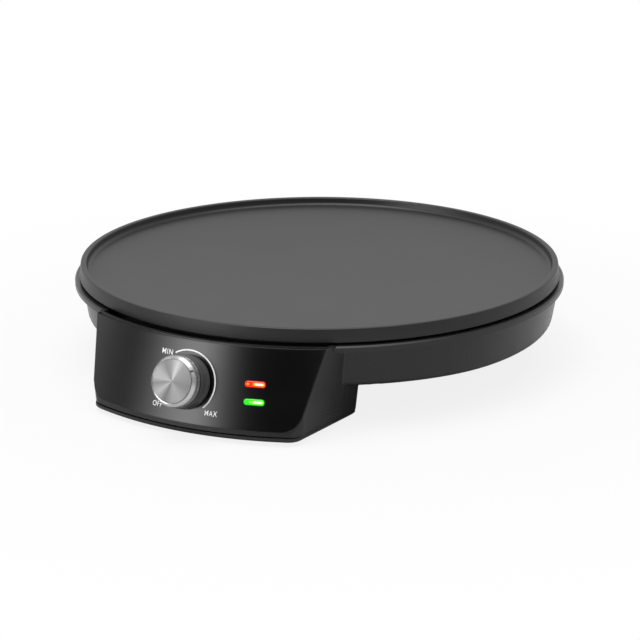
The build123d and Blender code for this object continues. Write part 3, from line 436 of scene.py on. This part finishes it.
# %% Camera
camera_place = Vector((0.5595, -1.1165, 0.3630))
camera_aim = Vector((-0.4262, 0.8511, -0.3065))
nothing_selected()
bpy.ops.object.camera_add(location=camera_place)
camera = bpy.context.active_object
camera.rotation_euler = camera_aim.to_track_quat("-Z", "Y").to_euler()
camera.data.lens = 112.5
camera.data.sensor_width = 36.0
camera.data.clip_start = 0.05
scene.camera = camera
print("camera at", [round(value, 4) for value in camera.location])

# %% [markdown]
# The floor is one plane of matt card. The camera sees it nearly white, and it still carries the
# machine's soft shadow. Everything else sees the plain card.

# %% Floor
nothing_selected()
bpy.ops.mesh.primitive_plane_add(size=24, location=(0, 0, ground))
floor = bpy.context.active_object
floor.name = "floor"
paper = Finish("pale_floor")
from_middle = paper.add(
    "ShaderNodeVectorMath", {"operation": "LENGTH"}, {0: paper.place((0, 0, ground))}, output="Value"
)
far = from_middle.step(0.2, 0.45)
grain = paper.noise(paper.place(), 40.0)
card_colour = paper.blend(grain, (0.56, 0.56, 0.56), (0.6, 0.6, 0.6))
card = paper.add("ShaderNodeBsdfDiffuse", {}, {"Color": card_colour})
glow = paper.add("ShaderNodeEmission", {}, {"Color": (1, 1, 1, 1), "Strength": 1.0})
floor_seen = paper.add("ShaderNodeLightPath", output="Is Camera Ray")
share = floor_seen * (0.85 + 0.15 * far)
paper.add_output(paper.add("ShaderNodeMixShader", {}, {0: share, 1: card, 2: glow}))
paint(floor, paper.material)

# %% [markdown]
# ## Finishes
# Each finish is mixed once and shared by the pieces that are made of it. Noise keeps them alive: a
# fine one for the grain of the surface and, on the large pieces, a broad one for how evenly it was
# laid on. The plate has a dark, satin non-stick coating with a fine speckle.

# %% Coating of the plate
coating = Finish("nonstick_coating")
here = coating.place()
speck = coating.noise(here, 2600.0, 2.0)
cloud = coating.noise(here, 22.0, 3.0)
tone = 0.6 * speck + 0.4 * cloud
nonstick = coating.surface(
    Base_Color=coating.blend(tone, (0.012, 0.012, 0.013), (0.018, 0.018, 0.019)),
    Roughness=0.34 + 0.1 * tone,
    Specular_IOR_Level=0.37,
    Normal=coating.bump(speck, 0.02 * mm),
)

# %% [markdown]
# Three black plastics lie side by side and differ mostly in gloss: the shell is satin, the fascia is
# polished with a very faint waviness, and the knob is a lighter, finely grained one.

# %% Moulded plastics
moulding = Finish("satin_moulding")
here = moulding.place()
fine = moulding.noise(here, 3200.0, 2.0)
broad = moulding.noise(here, 30.0, 2.0)
satin = moulding.surface(
    Base_Color=moulding.blend(broad, (0.008, 0.008, 0.009), (0.012, 0.012, 0.013)),
    Roughness=0.24 + 0.08 * broad,
    Specular_IOR_Level=0.42,
    Normal=moulding.bump(fine, 0.006 * mm),
)

fascia_finish = Finish("gloss_fascia")
here = fascia_finish.place()
ripple = fascia_finish.noise(here, 60.0, 1.0)
gloss = fascia_finish.surface(
    Base_Color=fascia_finish.blend(ripple, (0.0025, 0.0025, 0.003), (0.004, 0.004, 0.0045)),
    Roughness=0.16 + 0.03 * ripple,
    Normal=fascia_finish.bump(ripple, 0.004 * mm),
)

grip = Finish("knob_moulding")
fine = grip.noise(grip.place(), 3600.0, 2.0)
knob_plastic = grip.surface(
    Base_Color=grip.blend(fine, (0.05, 0.05, 0.052), (0.065, 0.065, 0.067)),
    Roughness=0.3 + 0.08 * fine,
    Normal=grip.bump(fine, 0.006 * mm),
)

# %% [markdown]
# The bare metals inside differ only in colour and polish, so one function mixes them all.


# %% Metals
def metal(name, dark, bright, rough, scale=900.0, depth=0.004 * mm):
    """A bare metal with faint mottling."""
    finish = Finish(name)
    mottle = finish.noise(finish.place(), scale, 3.0)
    return finish.surface(
        Base_Color=finish.blend(mottle, dark, bright),
        Metallic=1.0,
        Roughness=rough + 0.1 * mottle,
        Normal=finish.bump(mottle, depth),
    )


zinc = metal("zinc_plate", (0.5, 0.51, 0.52), (0.66, 0.66, 0.66), 0.24)
heater_tube = metal("heater_tube", (0.16, 0.15, 0.15), (0.3, 0.29, 0.28), 0.42, 300.0)
brass = metal("brass", (0.62, 0.47, 0.2), (0.78, 0.62, 0.32), 0.24)
bimetal = metal("bimetal", (0.42, 0.38, 0.31), (0.56, 0.52, 0.45), 0.32)

# %% [markdown]
# ## The ring and the spun disc
# Aluminium that was faced on a lathe carries fine circular grooves, and they throw the light into
# rays that run from the centre. The grooves are a sine of the distance from the axis, fed to Bump.
# The rays themselves are a painted reflection: one ramp of light and dark greys round the axis in the
# disc's colour, so they show under any light and turn with the knob.

# %% Ring and disc
ring_finish = Finish("bright_ring")
across, upward, outward = ring_finish.flat(knob_place)
angle = across.maths("ARCTAN2", upward, across)
from_axis = (across * across + upward * upward) ** 0.5
# Painted shade: a thin dark line across the ring's front face at 33 degrees stands in for the shadow in a
# small notch.
notch_shade = (1 - abs(angle - radians(33)).step(0.025, 0.035)) * from_axis.step(12.9 * mm, 13.0 * mm)
notch_shade = notch_shade * outward.step(15.4 * mm, 15.5 * mm)
mottle = ring_finish.noise(ring_finish.place(), 1500.0, 3.0)
steel_tone = ring_finish.blend(mottle, (0.54, 0.54, 0.55), (0.62, 0.62, 0.62))
bright_ring = ring_finish.surface(
    Base_Color=ring_finish.blend(notch_shade, steel_tone, (0.02, 0.02, 0.02)),
    Metallic=1.0,
    Roughness=0.24 + 0.06 * mottle,
    Normal=ring_finish.bump(mottle, 0.002 * mm),
)

spun = Finish("spun_aluminium")
across, upward, outward = spun.flat(knob_place)
from_axis = (across * across + upward * upward) ** 0.5
groove = (from_axis * (2 * pi / (0.25 * mm))).sine()
turn = across.maths("ARCTAN2", upward, across) / (2 * pi)
turn = turn.maths("FRACT", turn + 1.0)
# Painted reflection: the light and dark sectors of the disc's rays, as degrees round the axis and grey in
# hundredths.
painted_ray_greys = [(0, 14), (55, 18), (77, 36), (100, 18), (120, 13), (150, 24), (175, 26)]
painted_ray_greys += [(193, 14), (222, 26), (252, 9), (280, 18), (305, 20), (340, 13)]
stops = [(degree / 360, grey / 100) for degree, grey in painted_ray_greys]
painted_ray_fan = spun.add("ShaderNodeValToRGB", {"stops": stops}, {0: turn})
spun_metal = spun.surface(
    Base_Color=spun.blend(groove * 0.04 + 0.04, painted_ray_fan, (0.5, 0.5, 0.5)),
    Metallic=1.0,
    Roughness=0.42,
    Normal=spun.bump(groove, 0.004 * mm),
)

# %% [markdown]
# Ceramic, rubber, nylon and printing ink are dull and grained, and again one function mixes them.
# The neon lamps are of clear glass.


# %% Small inner pieces
def plain(name, dark, bright, rough, scale, depth):
    """A dull material with grain: ceramic, rubber, nylon."""
    finish = Finish(name)
    mottle = finish.noise(finish.place(), scale, 3.0)
    return finish.surface(
        Base_Color=finish.blend(mottle, dark, bright),
        Roughness=rough + 0.15 * mottle,
        Normal=finish.bump(mottle, depth),
    )


steatite = plain("steatite", (0.74, 0.71, 0.64), (0.86, 0.84, 0.78), 0.5, 700.0, 0.02 * mm)
rubber = plain("rubber", (0.018, 0.018, 0.018), (0.03, 0.03, 0.03), 0.65, 1200.0, 0.02 * mm)
nylon = plain("nylon", (0.72, 0.71, 0.66), (0.82, 0.81, 0.76), 0.35, 500.0, 0.01 * mm)
white_ink = plain("white_ink", (0.9, 0.9, 0.9), (0.95, 0.95, 0.95), 0.4, 2000.0, 0.002 * mm)

bulb = Finish("lamp_glass")
haze = bulb.noise(bulb.place(), 400.0)
lamp_glass = bulb.surface(
    Base_Color=bulb.blend(haze, (0.92, 0.74, 0.6), (0.96, 0.84, 0.72)),
    Roughness=0.06 + 0.05 * haze,
    Transmission_Weight=0.6,
)

# %% [markdown]
# ## Griddle plate
# The cooking plate is cast aluminium, turned on its rim and face and then coated. A lathe outline
# gives the flat face, the small fillet inside the rim, the flared skirt and the heater's ridge with
# its square groove in one go. The three bosses under it, which take the posts' screws, are short
# turned stubs that are copied to their places.

# %% Griddle plate
well_radius = rim_radius - 3.6 * mm
spigot_radius = 144.5 * mm
ridge = 100.0 * mm
groove_top = -4.75 * mm
plate_outline = [
    (0, 0, 0),
    (well_radius - 0.6 * mm, 0, 2.5 * mm),
    (well_radius, rim_height, 0.9 * mm),
    (rim_radius, rim_height, 0.8 * mm),
    (skirt_radius, skirt_foot, 0.7 * mm),
    (spigot_radius, skirt_foot, 0),
    (spigot_radius, -plate_thickness, 0.4 * mm),
    (ridge + 7 * mm, -plate_thickness, 0.8 * mm),
    (ridge + 7 * mm, -8.5 * mm, 0.6 * mm),
    (ridge + 3.45 * mm, -8.5 * mm, 0),
    (ridge + 3.45 * mm, groove_top, 0),
    (ridge - 3.45 * mm, groove_top, 0),
    (ridge - 3.45 * mm, -8.5 * mm, 0),
    (ridge - 7 * mm, -8.5 * mm, 0.6 * mm),
    (ridge - 7 * mm, -plate_thickness, 0.8 * mm),
    (0, -plate_thickness, 0),
]
plate = turned("cooking_plate", plate_outline, steps=320)

stub = [
    (2.05 * mm, -8 * mm, 0.2 * mm),
    (6 * mm, -8 * mm, 0.5 * mm),
    (6 * mm, -4.9 * mm, 0),
    (2.05 * mm, -4.9 * mm, 0),
]
bosses = []
for azimuth in (60, 180, 300):
    boss = turned("plate_boss", stub, steps=40, closed=True)
    middle = Vector((sin(radians(azimuth)), -cos(radians(azimuth)), 0)) * 70 * mm
    bosses.append(place(boss, Matrix.Translation(middle)))
plate = join([plate] + bosses)
paint(plate, nonstick)
told(plate, "base", "plate", "griddle_plate")

# %% [markdown]
# ## Fascia
# The fascia is a glossy moulding that follows a leaning cone. A straight line spun about the
# plate's axis gives that cone exactly. Its sides and round lower corners are then cut with Bisect,
# and Solidify and Bevel give it thickness and a soft edge.

# %% Cone patch
half_top = 76.91 * mm
half_foot = 68.64 * mm
corner_radius = 11.0 * mm
sweep_half = radians(30)

panel = first_point("fascia", 0, 0)
start = on_fascia(sweep_half, panel_top).translation
end = on_fascia(sweep_half, panel_foot).translation
bpy.ops.transform.translate(value=start)
bpy.ops.mesh.extrude_vertices_move(TRANSFORM_OT_translate={"value": end - start})
bpy.ops.mesh.select_all(action="SELECT")
bpy.ops.mesh.subdivide(number_cuts=31)
bpy.ops.mesh.select_all(action="SELECT")
bpy.ops.mesh.spin(steps=200, angle=2 * sweep_half, center=(0, 0, 0), axis=(0, 0, 1))
spread = [vertex.co.x / mm for vertex in bmesh.from_edit_mesh(panel.data).verts]
print("cone patch from", round(min(spread), 1), "to", round(max(spread), 1), "mm")

# %% [markdown]
# The cone patch is wider than the fascia, so it is trimmed like a sheet of card: one straight cut
# along each side, then a row of short cuts that follow the round of each lower corner.


# %% Trim the cone patch
def cut_away(point, outward):
    """Cut the mesh by a plane and drop what lies beyond it."""
    bpy.ops.mesh.select_all(action="SELECT")
    bpy.ops.mesh.bisect(plane_co=point, plane_no=outward, clear_outer=True)


side_slope = atan2(half_top - half_foot, panel_height)
corner_x = half_foot + corner_radius * tan(side_slope) - corner_radius / cos(side_slope)
for side in (-1, 1):
    cut_away((side * half_foot, 0, panel_foot), (side * cos(side_slope), 0, -sin(side_slope)))
    for step in range(1, 12):
        turn = side_slope + (pi / 2 - side_slope) * step / 12
        outward = Vector((side * cos(turn), 0, -sin(turn)))
        corner = Vector((side * corner_x, 0, panel_foot + corner_radius))
        cut_away(corner + outward * corner_radius, outward)
bpy.ops.object.mode_set(mode="OBJECT")
close_up(panel)

# %% [markdown]
# The trimmed patch has no thickness yet. Its faces are turned outwards first, so that Solidify
# thickens it towards the box and the outer face stays on the cone.

# %% Thickness and soft edge
if sum(face.normal.dot(face.center) for face in panel.data.polygons) < 0:
    only(panel)
    bpy.ops.object.mode_set(mode="EDIT")
    bpy.ops.mesh.select_all(action="SELECT")
    bpy.ops.mesh.flip_normals()
    bpy.ops.object.mode_set(mode="OBJECT")
apply_modifier(panel, "SOLIDIFY", thickness=2.0 * mm, offset=-1.0)
soft_edge = {"width": 0.8 * mm, "segments": 4, "limit_method": "ANGLE", "angle_limit": radians(60)}
apply_modifier(panel, "BEVEL", **soft_edge)
close_up(panel, 40)


# %% [markdown]
# The knob's hole and the two lamp windows go through the fascia. A stadium is a rectangle whose
# four corners are rounded until they meet. Extruded, it serves as a cutter for the Boolean modifier,
# and the same outline makes the lenses later.


# %% Cutters
def stadium(name, length, width, low, high):
    """A flat bar with round ends, from one height to another."""
    nothing_selected()
    bpy.ops.mesh.primitive_plane_add(size=1, location=(0, 0, 0))
    bar = bpy.context.active_object
    bar.name = name
    bpy.ops.object.mode_set(mode="EDIT")
    bpy.ops.transform.resize(value=(length, width, 1))
    bpy.ops.transform.translate(value=(0, 0, low))
    bpy.ops.mesh.bevel(affect="VERTICES", offset=width * 0.4999, segments=14)
    bpy.ops.mesh.select_all(action="SELECT")
    bpy.ops.mesh.remove_doubles(threshold=0.01 * mm)
    bpy.ops.mesh.extrude_region_move(TRANSFORM_OT_translate={"value": (0, 0, high - low)})
    return close_up(bar)


def drill(piece, cutter):
    """Take a cutter's shape out of a piece, and drop the cutter."""
    apply_modifier(piece, "BOOLEAN", operation="DIFFERENCE", solver="EXACT", object=cutter)
    bpy.data.objects.remove(cutter)


for lamp_place in (red_place, green_place):
    drill(panel, place(stadium("window", 12.8 * mm, 4.0 * mm, -5 * mm, 4 * mm), lamp_place))
hole = [(0, -5 * mm, 0), (4.2 * mm, -5 * mm, 0), (4.2 * mm, 4 * mm, 0), (0, 4 * mm, 0)]
drill(panel, place(turned("spindle_hole", hole, steps=48), knob_place))
only(panel)
bpy.ops.object.shade_smooth_by_angle(angle=radians(35))

# %% [markdown]
# Four round pegs behind the fascia reach through the wall of the box, where screws hold them. They
# don't show from outside, but the fascia is a real moulding and has them.

# %% Pegs behind the fascia
peg_outline = [
    (1.55 * mm, -4.4 * mm, 0.15 * mm),
    (2.6 * mm, -4.4 * mm, 0.4 * mm),
    (2.6 * mm, -1.6 * mm, 0),
    (1.55 * mm, -1.6 * mm, 0),
]
pegs = []
for azimuth, drop in ((23.09, 12.0), (20.48, 36.0)):
    for side in (-1, 1):
        peg = turned("peg", peg_outline, steps=32, closed=True)
        pegs.append(place(peg, on_fascia(radians(side * azimuth), panel_top - drop * mm)))
panel = join([panel] + pegs)
paint(panel, gloss)
told(panel, "base", "panel", "control_panel")

# %% [markdown]
# ## Printed dial
# The dial is screen printed in white: a thin arc round the knob and three small words. The words
# are text objects turned to mesh, narrowed to a condensed cut. The arc is a short line spun round
# the knob's axis. It is long enough to feel the cone's curve, so Shrinkwrap lays it on the fascia.

# %% Words
ink_depth = 0.03 * mm
letter_height = 3.2 * mm


def printed(word, angle, distance, width):
    """One printed word, its middle given by an angle and a distance from the knob's axis."""
    nothing_selected()
    bpy.ops.object.text_add(location=(0, 0, 0))
    text = bpy.context.active_object
    text.name = "print_" + word.lower()
    text.data.body = word
    text.data.align_x = "CENTER"
    text.data.align_y = "CENTER"
    text.data.size = 1.0
    text.data.resolution_u = 6
    text.data.offset = 0.002
    text.data.space_character = 1.15
    bpy.ops.object.convert(target="MESH")
    corners = [Vector(corner) for corner in text.bound_box]
    low = Vector([min(corner[axis] for corner in corners) for axis in range(3)])
    high = Vector([max(corner[axis] for corner in corners) for axis in range(3)])
    scale = Vector((width / (high.x - low.x), letter_height / (high.y - low.y), 1))
    only(text)
    bpy.ops.object.mode_set(mode="EDIT")
    bpy.ops.mesh.select_all(action="SELECT")
    bpy.ops.transform.translate(value=-(low + high) / 2)
    bpy.ops.transform.resize(value=scale, center_override=(0, 0, 0))
    bpy.ops.transform.translate(value=(0, 0, ink_depth))
    bpy.ops.mesh.extrude_region_move(TRANSFORM_OT_translate={"value": (0, 0, ink_depth)})
    close_up(text)
    turn = radians(angle)
    height = knob_centre.z + distance * sin(turn) * cos(panel_lean)
    azimuth = distance * cos(turn) / reach_at(height)
    place(text, on_fascia(azimuth, height))
    paint(text, white_ink)
    return told(text, "base", "panel")


printed("MIN", 135, 21.9 * mm, 7.4 * mm)
printed("OFF", 222, 23.4 * mm, 6.5 * mm)
printed("MAX", -41, 24.5 * mm, 7.7 * mm)

# %% [markdown]
# Spin with a positive angle turns clockwise here, so the arc is spun from its upper end, over the top
# and down to its lower end. Then it is turned to where the upper end belongs.

# %% Arc
arc_radius = 18.6 * mm
arc_width = 0.85 * mm
arc_sweep = radians(168)
arc_start = radians(122)
arc = first_point("print_arc", arc_radius - arc_width / 2, 0)
bpy.ops.mesh.extrude_vertices_move(TRANSFORM_OT_translate={"value": (arc_width, 0, 0)})
bpy.ops.mesh.select_all(action="SELECT")
bpy.ops.mesh.spin(steps=96, angle=arc_sweep, center=(0, 0, 0), axis=(0, 0, 1))
bpy.ops.object.mode_set(mode="OBJECT")
low_end = min(arc.data.vertices, key=lambda v: v.co.y).co
print("arc spun on to", round(atan2(low_end.y, low_end.x) * 180 / pi), "degrees")
place(arc, knob_place @ Matrix.Rotation(arc_start, 4, "Z"))
apply_modifier(arc, "SHRINKWRAP", target=panel, wrap_mode="ABOVE_SURFACE", offset=ink_depth)
apply_modifier(arc, "SOLIDIFY", thickness=ink_depth, offset=1.0)
close_up(arc)
paint(arc, white_ink)
told(arc, "base", "panel")

# %% [markdown]
# ## Knob
# The knob has three parts: a dark moulded body with a smooth foot, a knurled metal ring pressed
# over its front, and a spun disc let into the ring. The body and the disc are turned.

# %% Knob body and disc
body_outline = [
    (3.05 * mm, 13.3 * mm, 0),
    (3.05 * mm, 1.6 * mm, 0.2 * mm),
    (5.6 * mm, 1.6 * mm, 0.4 * mm),
    (5.6 * mm, 7.0 * mm, 0.6 * mm),
    (13.75 * mm, 7.0 * mm, 0.8 * mm),
    (13.75 * mm, 0.6 * mm, 0.3 * mm),
    (16.15 * mm, 0.6 * mm, 0.4 * mm),
    (15.6 * mm, 9.4 * mm, 0.5 * mm),
    (12.75 * mm, 9.4 * mm, 0),
    (12.75 * mm, 16.35 * mm, 0.2 * mm),
    (0, 16.35 * mm, 0),
    (0, 13.3 * mm, 0),
]
knob = place(turned("knob_moulding", body_outline, steps=200), knob_place)
paint(knob, knob_plastic)
told(knob, "knob", "knob", "knob_body")

disc_outline = [
    (0, 16.36 * mm, 0),
    (12.74 * mm, 16.36 * mm, 0),
    (12.74 * mm, 17.14 * mm, 0.2 * mm),
    (0, 17.14 * mm, 0),
]
disc = place(turned("spun_disc", disc_outline, steps=200), knob_place)
paint(disc, spun_metal)
told(disc, "knob", "disc", "knob_disc")

# %% [markdown]
# The ring's knurl is straight ridges, 84 of them. A circle with four points for each ridge draws the
# knurl at once, when every second pair is moved inwards. Extruding that outline up gives the ridges.
# A groove parts them in two rows, and the chamfers at the front of each row catch the light as dots.
# Above them the ring is round again, and a cone runs in to its face.

# %% Knurled ring
ridges = 84
ridge_radius = 15.2 * mm
valley_radius = 14.65 * mm
valley = valley_radius / ridge_radius
at_ridge = (ridge_radius + valley_radius) / 2
ring_foot = 9.4 * mm
knurl_top = 15.2 * mm
foot_scale = 0.97
groove_scale = 0.96
nothing_selected()
bpy.ops.mesh.primitive_circle_add(vertices=4 * ridges, radius=ridge_radius, fill_type="NOTHING")
ring = bpy.context.active_object
ring.name = "knurled_ring"
bpy.ops.object.mode_set(mode="EDIT")
pick("verts", lambda v: v.index % 4 > 1)
bpy.ops.transform.resize(value=(valley, valley, 1), center_override=(0, 0, 0))
bpy.ops.mesh.select_all(action="SELECT")
bpy.ops.transform.resize(value=(foot_scale, foot_scale, 1), center_override=(0, 0, 0))
bpy.ops.transform.translate(value=(0, 0, ring_foot))


def next_ring(rise, scale):
    """Extrude the open edge up by a rise, and scale it about the axis."""
    bpy.ops.mesh.extrude_region_move(TRANSFORM_OT_translate={"value": (0, 0, rise)})
    bpy.ops.transform.resize(value=(scale, scale, 1), center_override=(0, 0, 0))


rear_row = [(0.45, 1 / foot_scale), (1.65, 1.0), (0.6, groove_scale)]
front_row = [(0.3, 1 / groove_scale), (2.3, 1.0), (0.6, 1.0)]
for rise, scale in rear_row + front_row:
    next_ring(rise * mm, scale)
# The cone above the knurl is round, so the last ridge points come in to the valleys' circle.
print("ridge points made round:", pick("verts", lambda v: v.co.z > knurl_top and v.co.xy.length > at_ridge))
bpy.ops.transform.resize(value=(valley, valley, 1), center_override=(0, 0, 0))
pick("verts", lambda v: v.co.z > knurl_top)
radius_now = valley_radius
for rise, radius in ((2.0, 13.2), (-0.35, 12.8), (-7.55, 12.8)):
    next_ring(rise * mm, radius * mm / radius_now)
    radius_now = radius * mm
pick("verts", lambda v: v.co.z < ring_foot + 0.01 * mm)
bpy.ops.mesh.bridge_edge_loops()
close_up(ring, 25)
place(ring, knob_place)
paint(ring, bright_ring)
told(ring, "knob", "collar", "knob_collar")

# %% [markdown]
# ## Pilot lights
# Each lens is a clear stadium pressed in from behind, with a flange that stops it. A lamp glows
# behind its right half. The glow is a soft streak in the lens's own Object coordinates: bright
# yellow in the middle, running out into the lens's own colour.


# %% Lens materials
def lit_lens(name, spot, edge, body, halo, core, dot):
    """A lit lens: its own colour, a bright streak to the right and a small glint to the left."""
    finish = Finish(name)
    across, upward, outward = finish.flat(spot)

    def near(middle, half, inner, outer):
        past_end = (abs(across - middle) - half).at_least(0.0)
        gap = (past_end * past_end + upward * upward) ** 0.5
        return 1 - gap.step(inner * mm, outer * mm)

    rim = abs(upward).step(0.9 * mm, 1.9 * mm).at_least(abs(across).step(4.6 * mm, 6.2 * mm))
    colour = finish.blend(rim, body, edge)
    colour = finish.blend(near(2.2 * mm, 2.6 * mm, 0.25, 1.35), colour, halo)
    colour = finish.blend(near(2.4 * mm, 1.9 * mm, 0.1, 0.75), colour, core)
    colour = finish.blend(near(-dot, 0.15 * mm, 0.1, 0.9), colour, halo)
    return finish.surface(
        Base_Color=colour,
        Roughness=0.1 + 0.04 * finish.noise(finish.place(), 300.0),
        Emission_Color=colour,
        Emission_Strength=0.9,
    )


reds = ((0.35, 0.0, 0.0), (0.9, 0.02, 0.0), (1.0, 0.3, 0.02), (1.0, 0.85, 0.55))
greens = ((0.0, 0.25, 0.0), (0.01, 0.62, 0.01), (0.3, 0.85, 0.08), (0.85, 1.0, 0.6))
red_glow = lit_lens("red_light", red_place, *reds, dot=4.2 * mm)
green_glow = lit_lens("green_light", green_place, *greens, dot=2.2 * mm)

# %% [markdown]
# A lens is the stadium of its window, a hair narrower, with a domed front. A wider stadium behind it
# is the flange.

# %% Lenses
for name, spot, glow_finish in (("red", red_place, red_glow), ("green", green_place, green_glow)):
    lens = stadium(name + "_lamp_lens", 12.6 * mm, 3.8 * mm, -2.2 * mm, 0.45 * mm)
    only(lens)
    bpy.ops.object.mode_set(mode="EDIT")
    pick("faces", lambda f: f.normal.z > 0.9 and f.calc_center_median().z > 0.4 * mm)
    bpy.ops.mesh.bevel(offset=0.8 * mm, segments=5)
    bpy.ops.object.mode_set(mode="OBJECT")
    close_up(lens, 40)
    flange = stadium(name + "_flange", 15.0 * mm, 6.2 * mm, -3.5 * mm, -2.2 * mm)
    lens = place(join([lens, flange]), spot)
    paint(lens, glow_finish)
    told(lens, "base", name + "_light", name + "_lens")

# %% [markdown]
# ## Shell and bottom cover
# The shell is one large moulding whose solid has the right shape but knife edges. Real mouldings
# have small rounds, and on black plastic those rounds are what the eye sees. So a copy of the solid
# is merged, its flat triangles are dissolved into clean faces, and a Bevel rounds every edge that
# is sharper than the curved walls. Weighted normals then keep the flat faces flat. The bowl also
# swells towards its flange, so the outer points of its wall are pushed out along their radius first.


# %% Swell of the bowl
wall_top = -6.8 * mm
wall_foot = -29.3 * mm
wall_height = 22.4 * mm
round_foot = -34.1 * mm
foot_push = 4.2 * mm
extra_push = 2.2 * mm
least_push = 3.6 * mm
swell_start = radians(35)
swell_reach = radians(35)


def on_outer_wall(radius, height):
    """Whether a point is on the outer face of the bowl's wall, or on the round at its foot."""
    on_wall = wall_foot - 0.1 * mm < height < wall_top and 147.0 * mm < radius < 149.2 * mm
    on_round = round_foot < height < wall_foot - 2.3 * mm and 142.3 * mm < radius < 147.4 * mm
    between = wall_foot - 2.4 * mm < height < wall_foot and 146.5 * mm < radius < 147.4 * mm
    return on_wall or on_round or between


def swell(piece):
    """Push the bowl's outer wall out, most at its top, and not at all where the box meets it."""
    for vertex in piece.data.vertices:
        radius, height = vertex.co.xy.length, vertex.co.z
        if on_outer_wall(radius, height):
            push = max(foot_push + extra_push * (height - wall_foot) / wall_height, least_push)
            turn = abs(atan2(vertex.co.x, -vertex.co.y))
            share = min(max((turn - swell_start) / swell_reach, 0.0), 1.0)
            vertex.co.xy *= 1 + push * share * share * (3 - 2 * share) / radius


# %% Dress a solid
def dressed(node, name, width, angle=26, reshape=None):
    """A copy of a solid with its sharp edges rounded."""
    nothing_selected()
    piece = bpy.data.objects.new(name, nodes[node].data.copy())
    scene.collection.objects.link(piece)
    piece.data.materials.clear()
    only(piece)
    bpy.ops.object.mode_set(mode="EDIT")
    bpy.ops.mesh.select_all(action="SELECT")
    bpy.ops.mesh.remove_doubles(threshold=0.001 * mm)
    bpy.ops.mesh.dissolve_limited(angle_limit=radians(0.3))
    bpy.ops.object.mode_set(mode="OBJECT")
    if reshape:
        reshape(piece)
    rounding = {"width": width, "segments": 2, "limit_method": "ANGLE", "angle_limit": radians(angle)}
    apply_modifier(piece, "BEVEL", **rounding)
    bpy.ops.object.shade_smooth_by_angle(angle=radians(angle))
    apply_modifier(piece, "WEIGHTED_NORMAL", keep_sharp=True)
    return piece


shell = dressed("base_shell", "shell_moulding", 0.6 * mm, reshape=swell)
paint(shell, satin)
told(shell, "base", "shell", "base_shell")

cover = dressed("bottom_cover", "cover_moulding", 0.4 * mm)
paint(cover, satin)
told(cover, "base", "cover", "bottom_cover")

# %% [markdown]
# ## Solids that stay
# The rest of the solids have the right shape already, so they keep it and get their finish.

# %% Finishes of the solids
finishes = {
    "heating_element": heater_tube,
    "element_seals": steatite,
    "adjuster_tip": steatite,
    "insulator_stack": steatite,
    "thermostat_bush": brass,
    "adjuster": brass,
    "contact_arm": brass,
    "fixed_contact": brass,
    "terminal_screws": brass,
    "earth_tag": brass,
    "bimetal_strip": bimetal,
    "front_feet": rubber,
    "rear_feet": rubber,
    "cord_gland": rubber,
    "lamp_holder": nylon,
    "terminal_block": nylon,
    "thermal_fuse": nylon,
    "neon_lamps": lamp_glass,
}
for name, node in nodes.items():
    paint(node, finishes.get(name, zinc))
print("finished solids:", len(nodes))
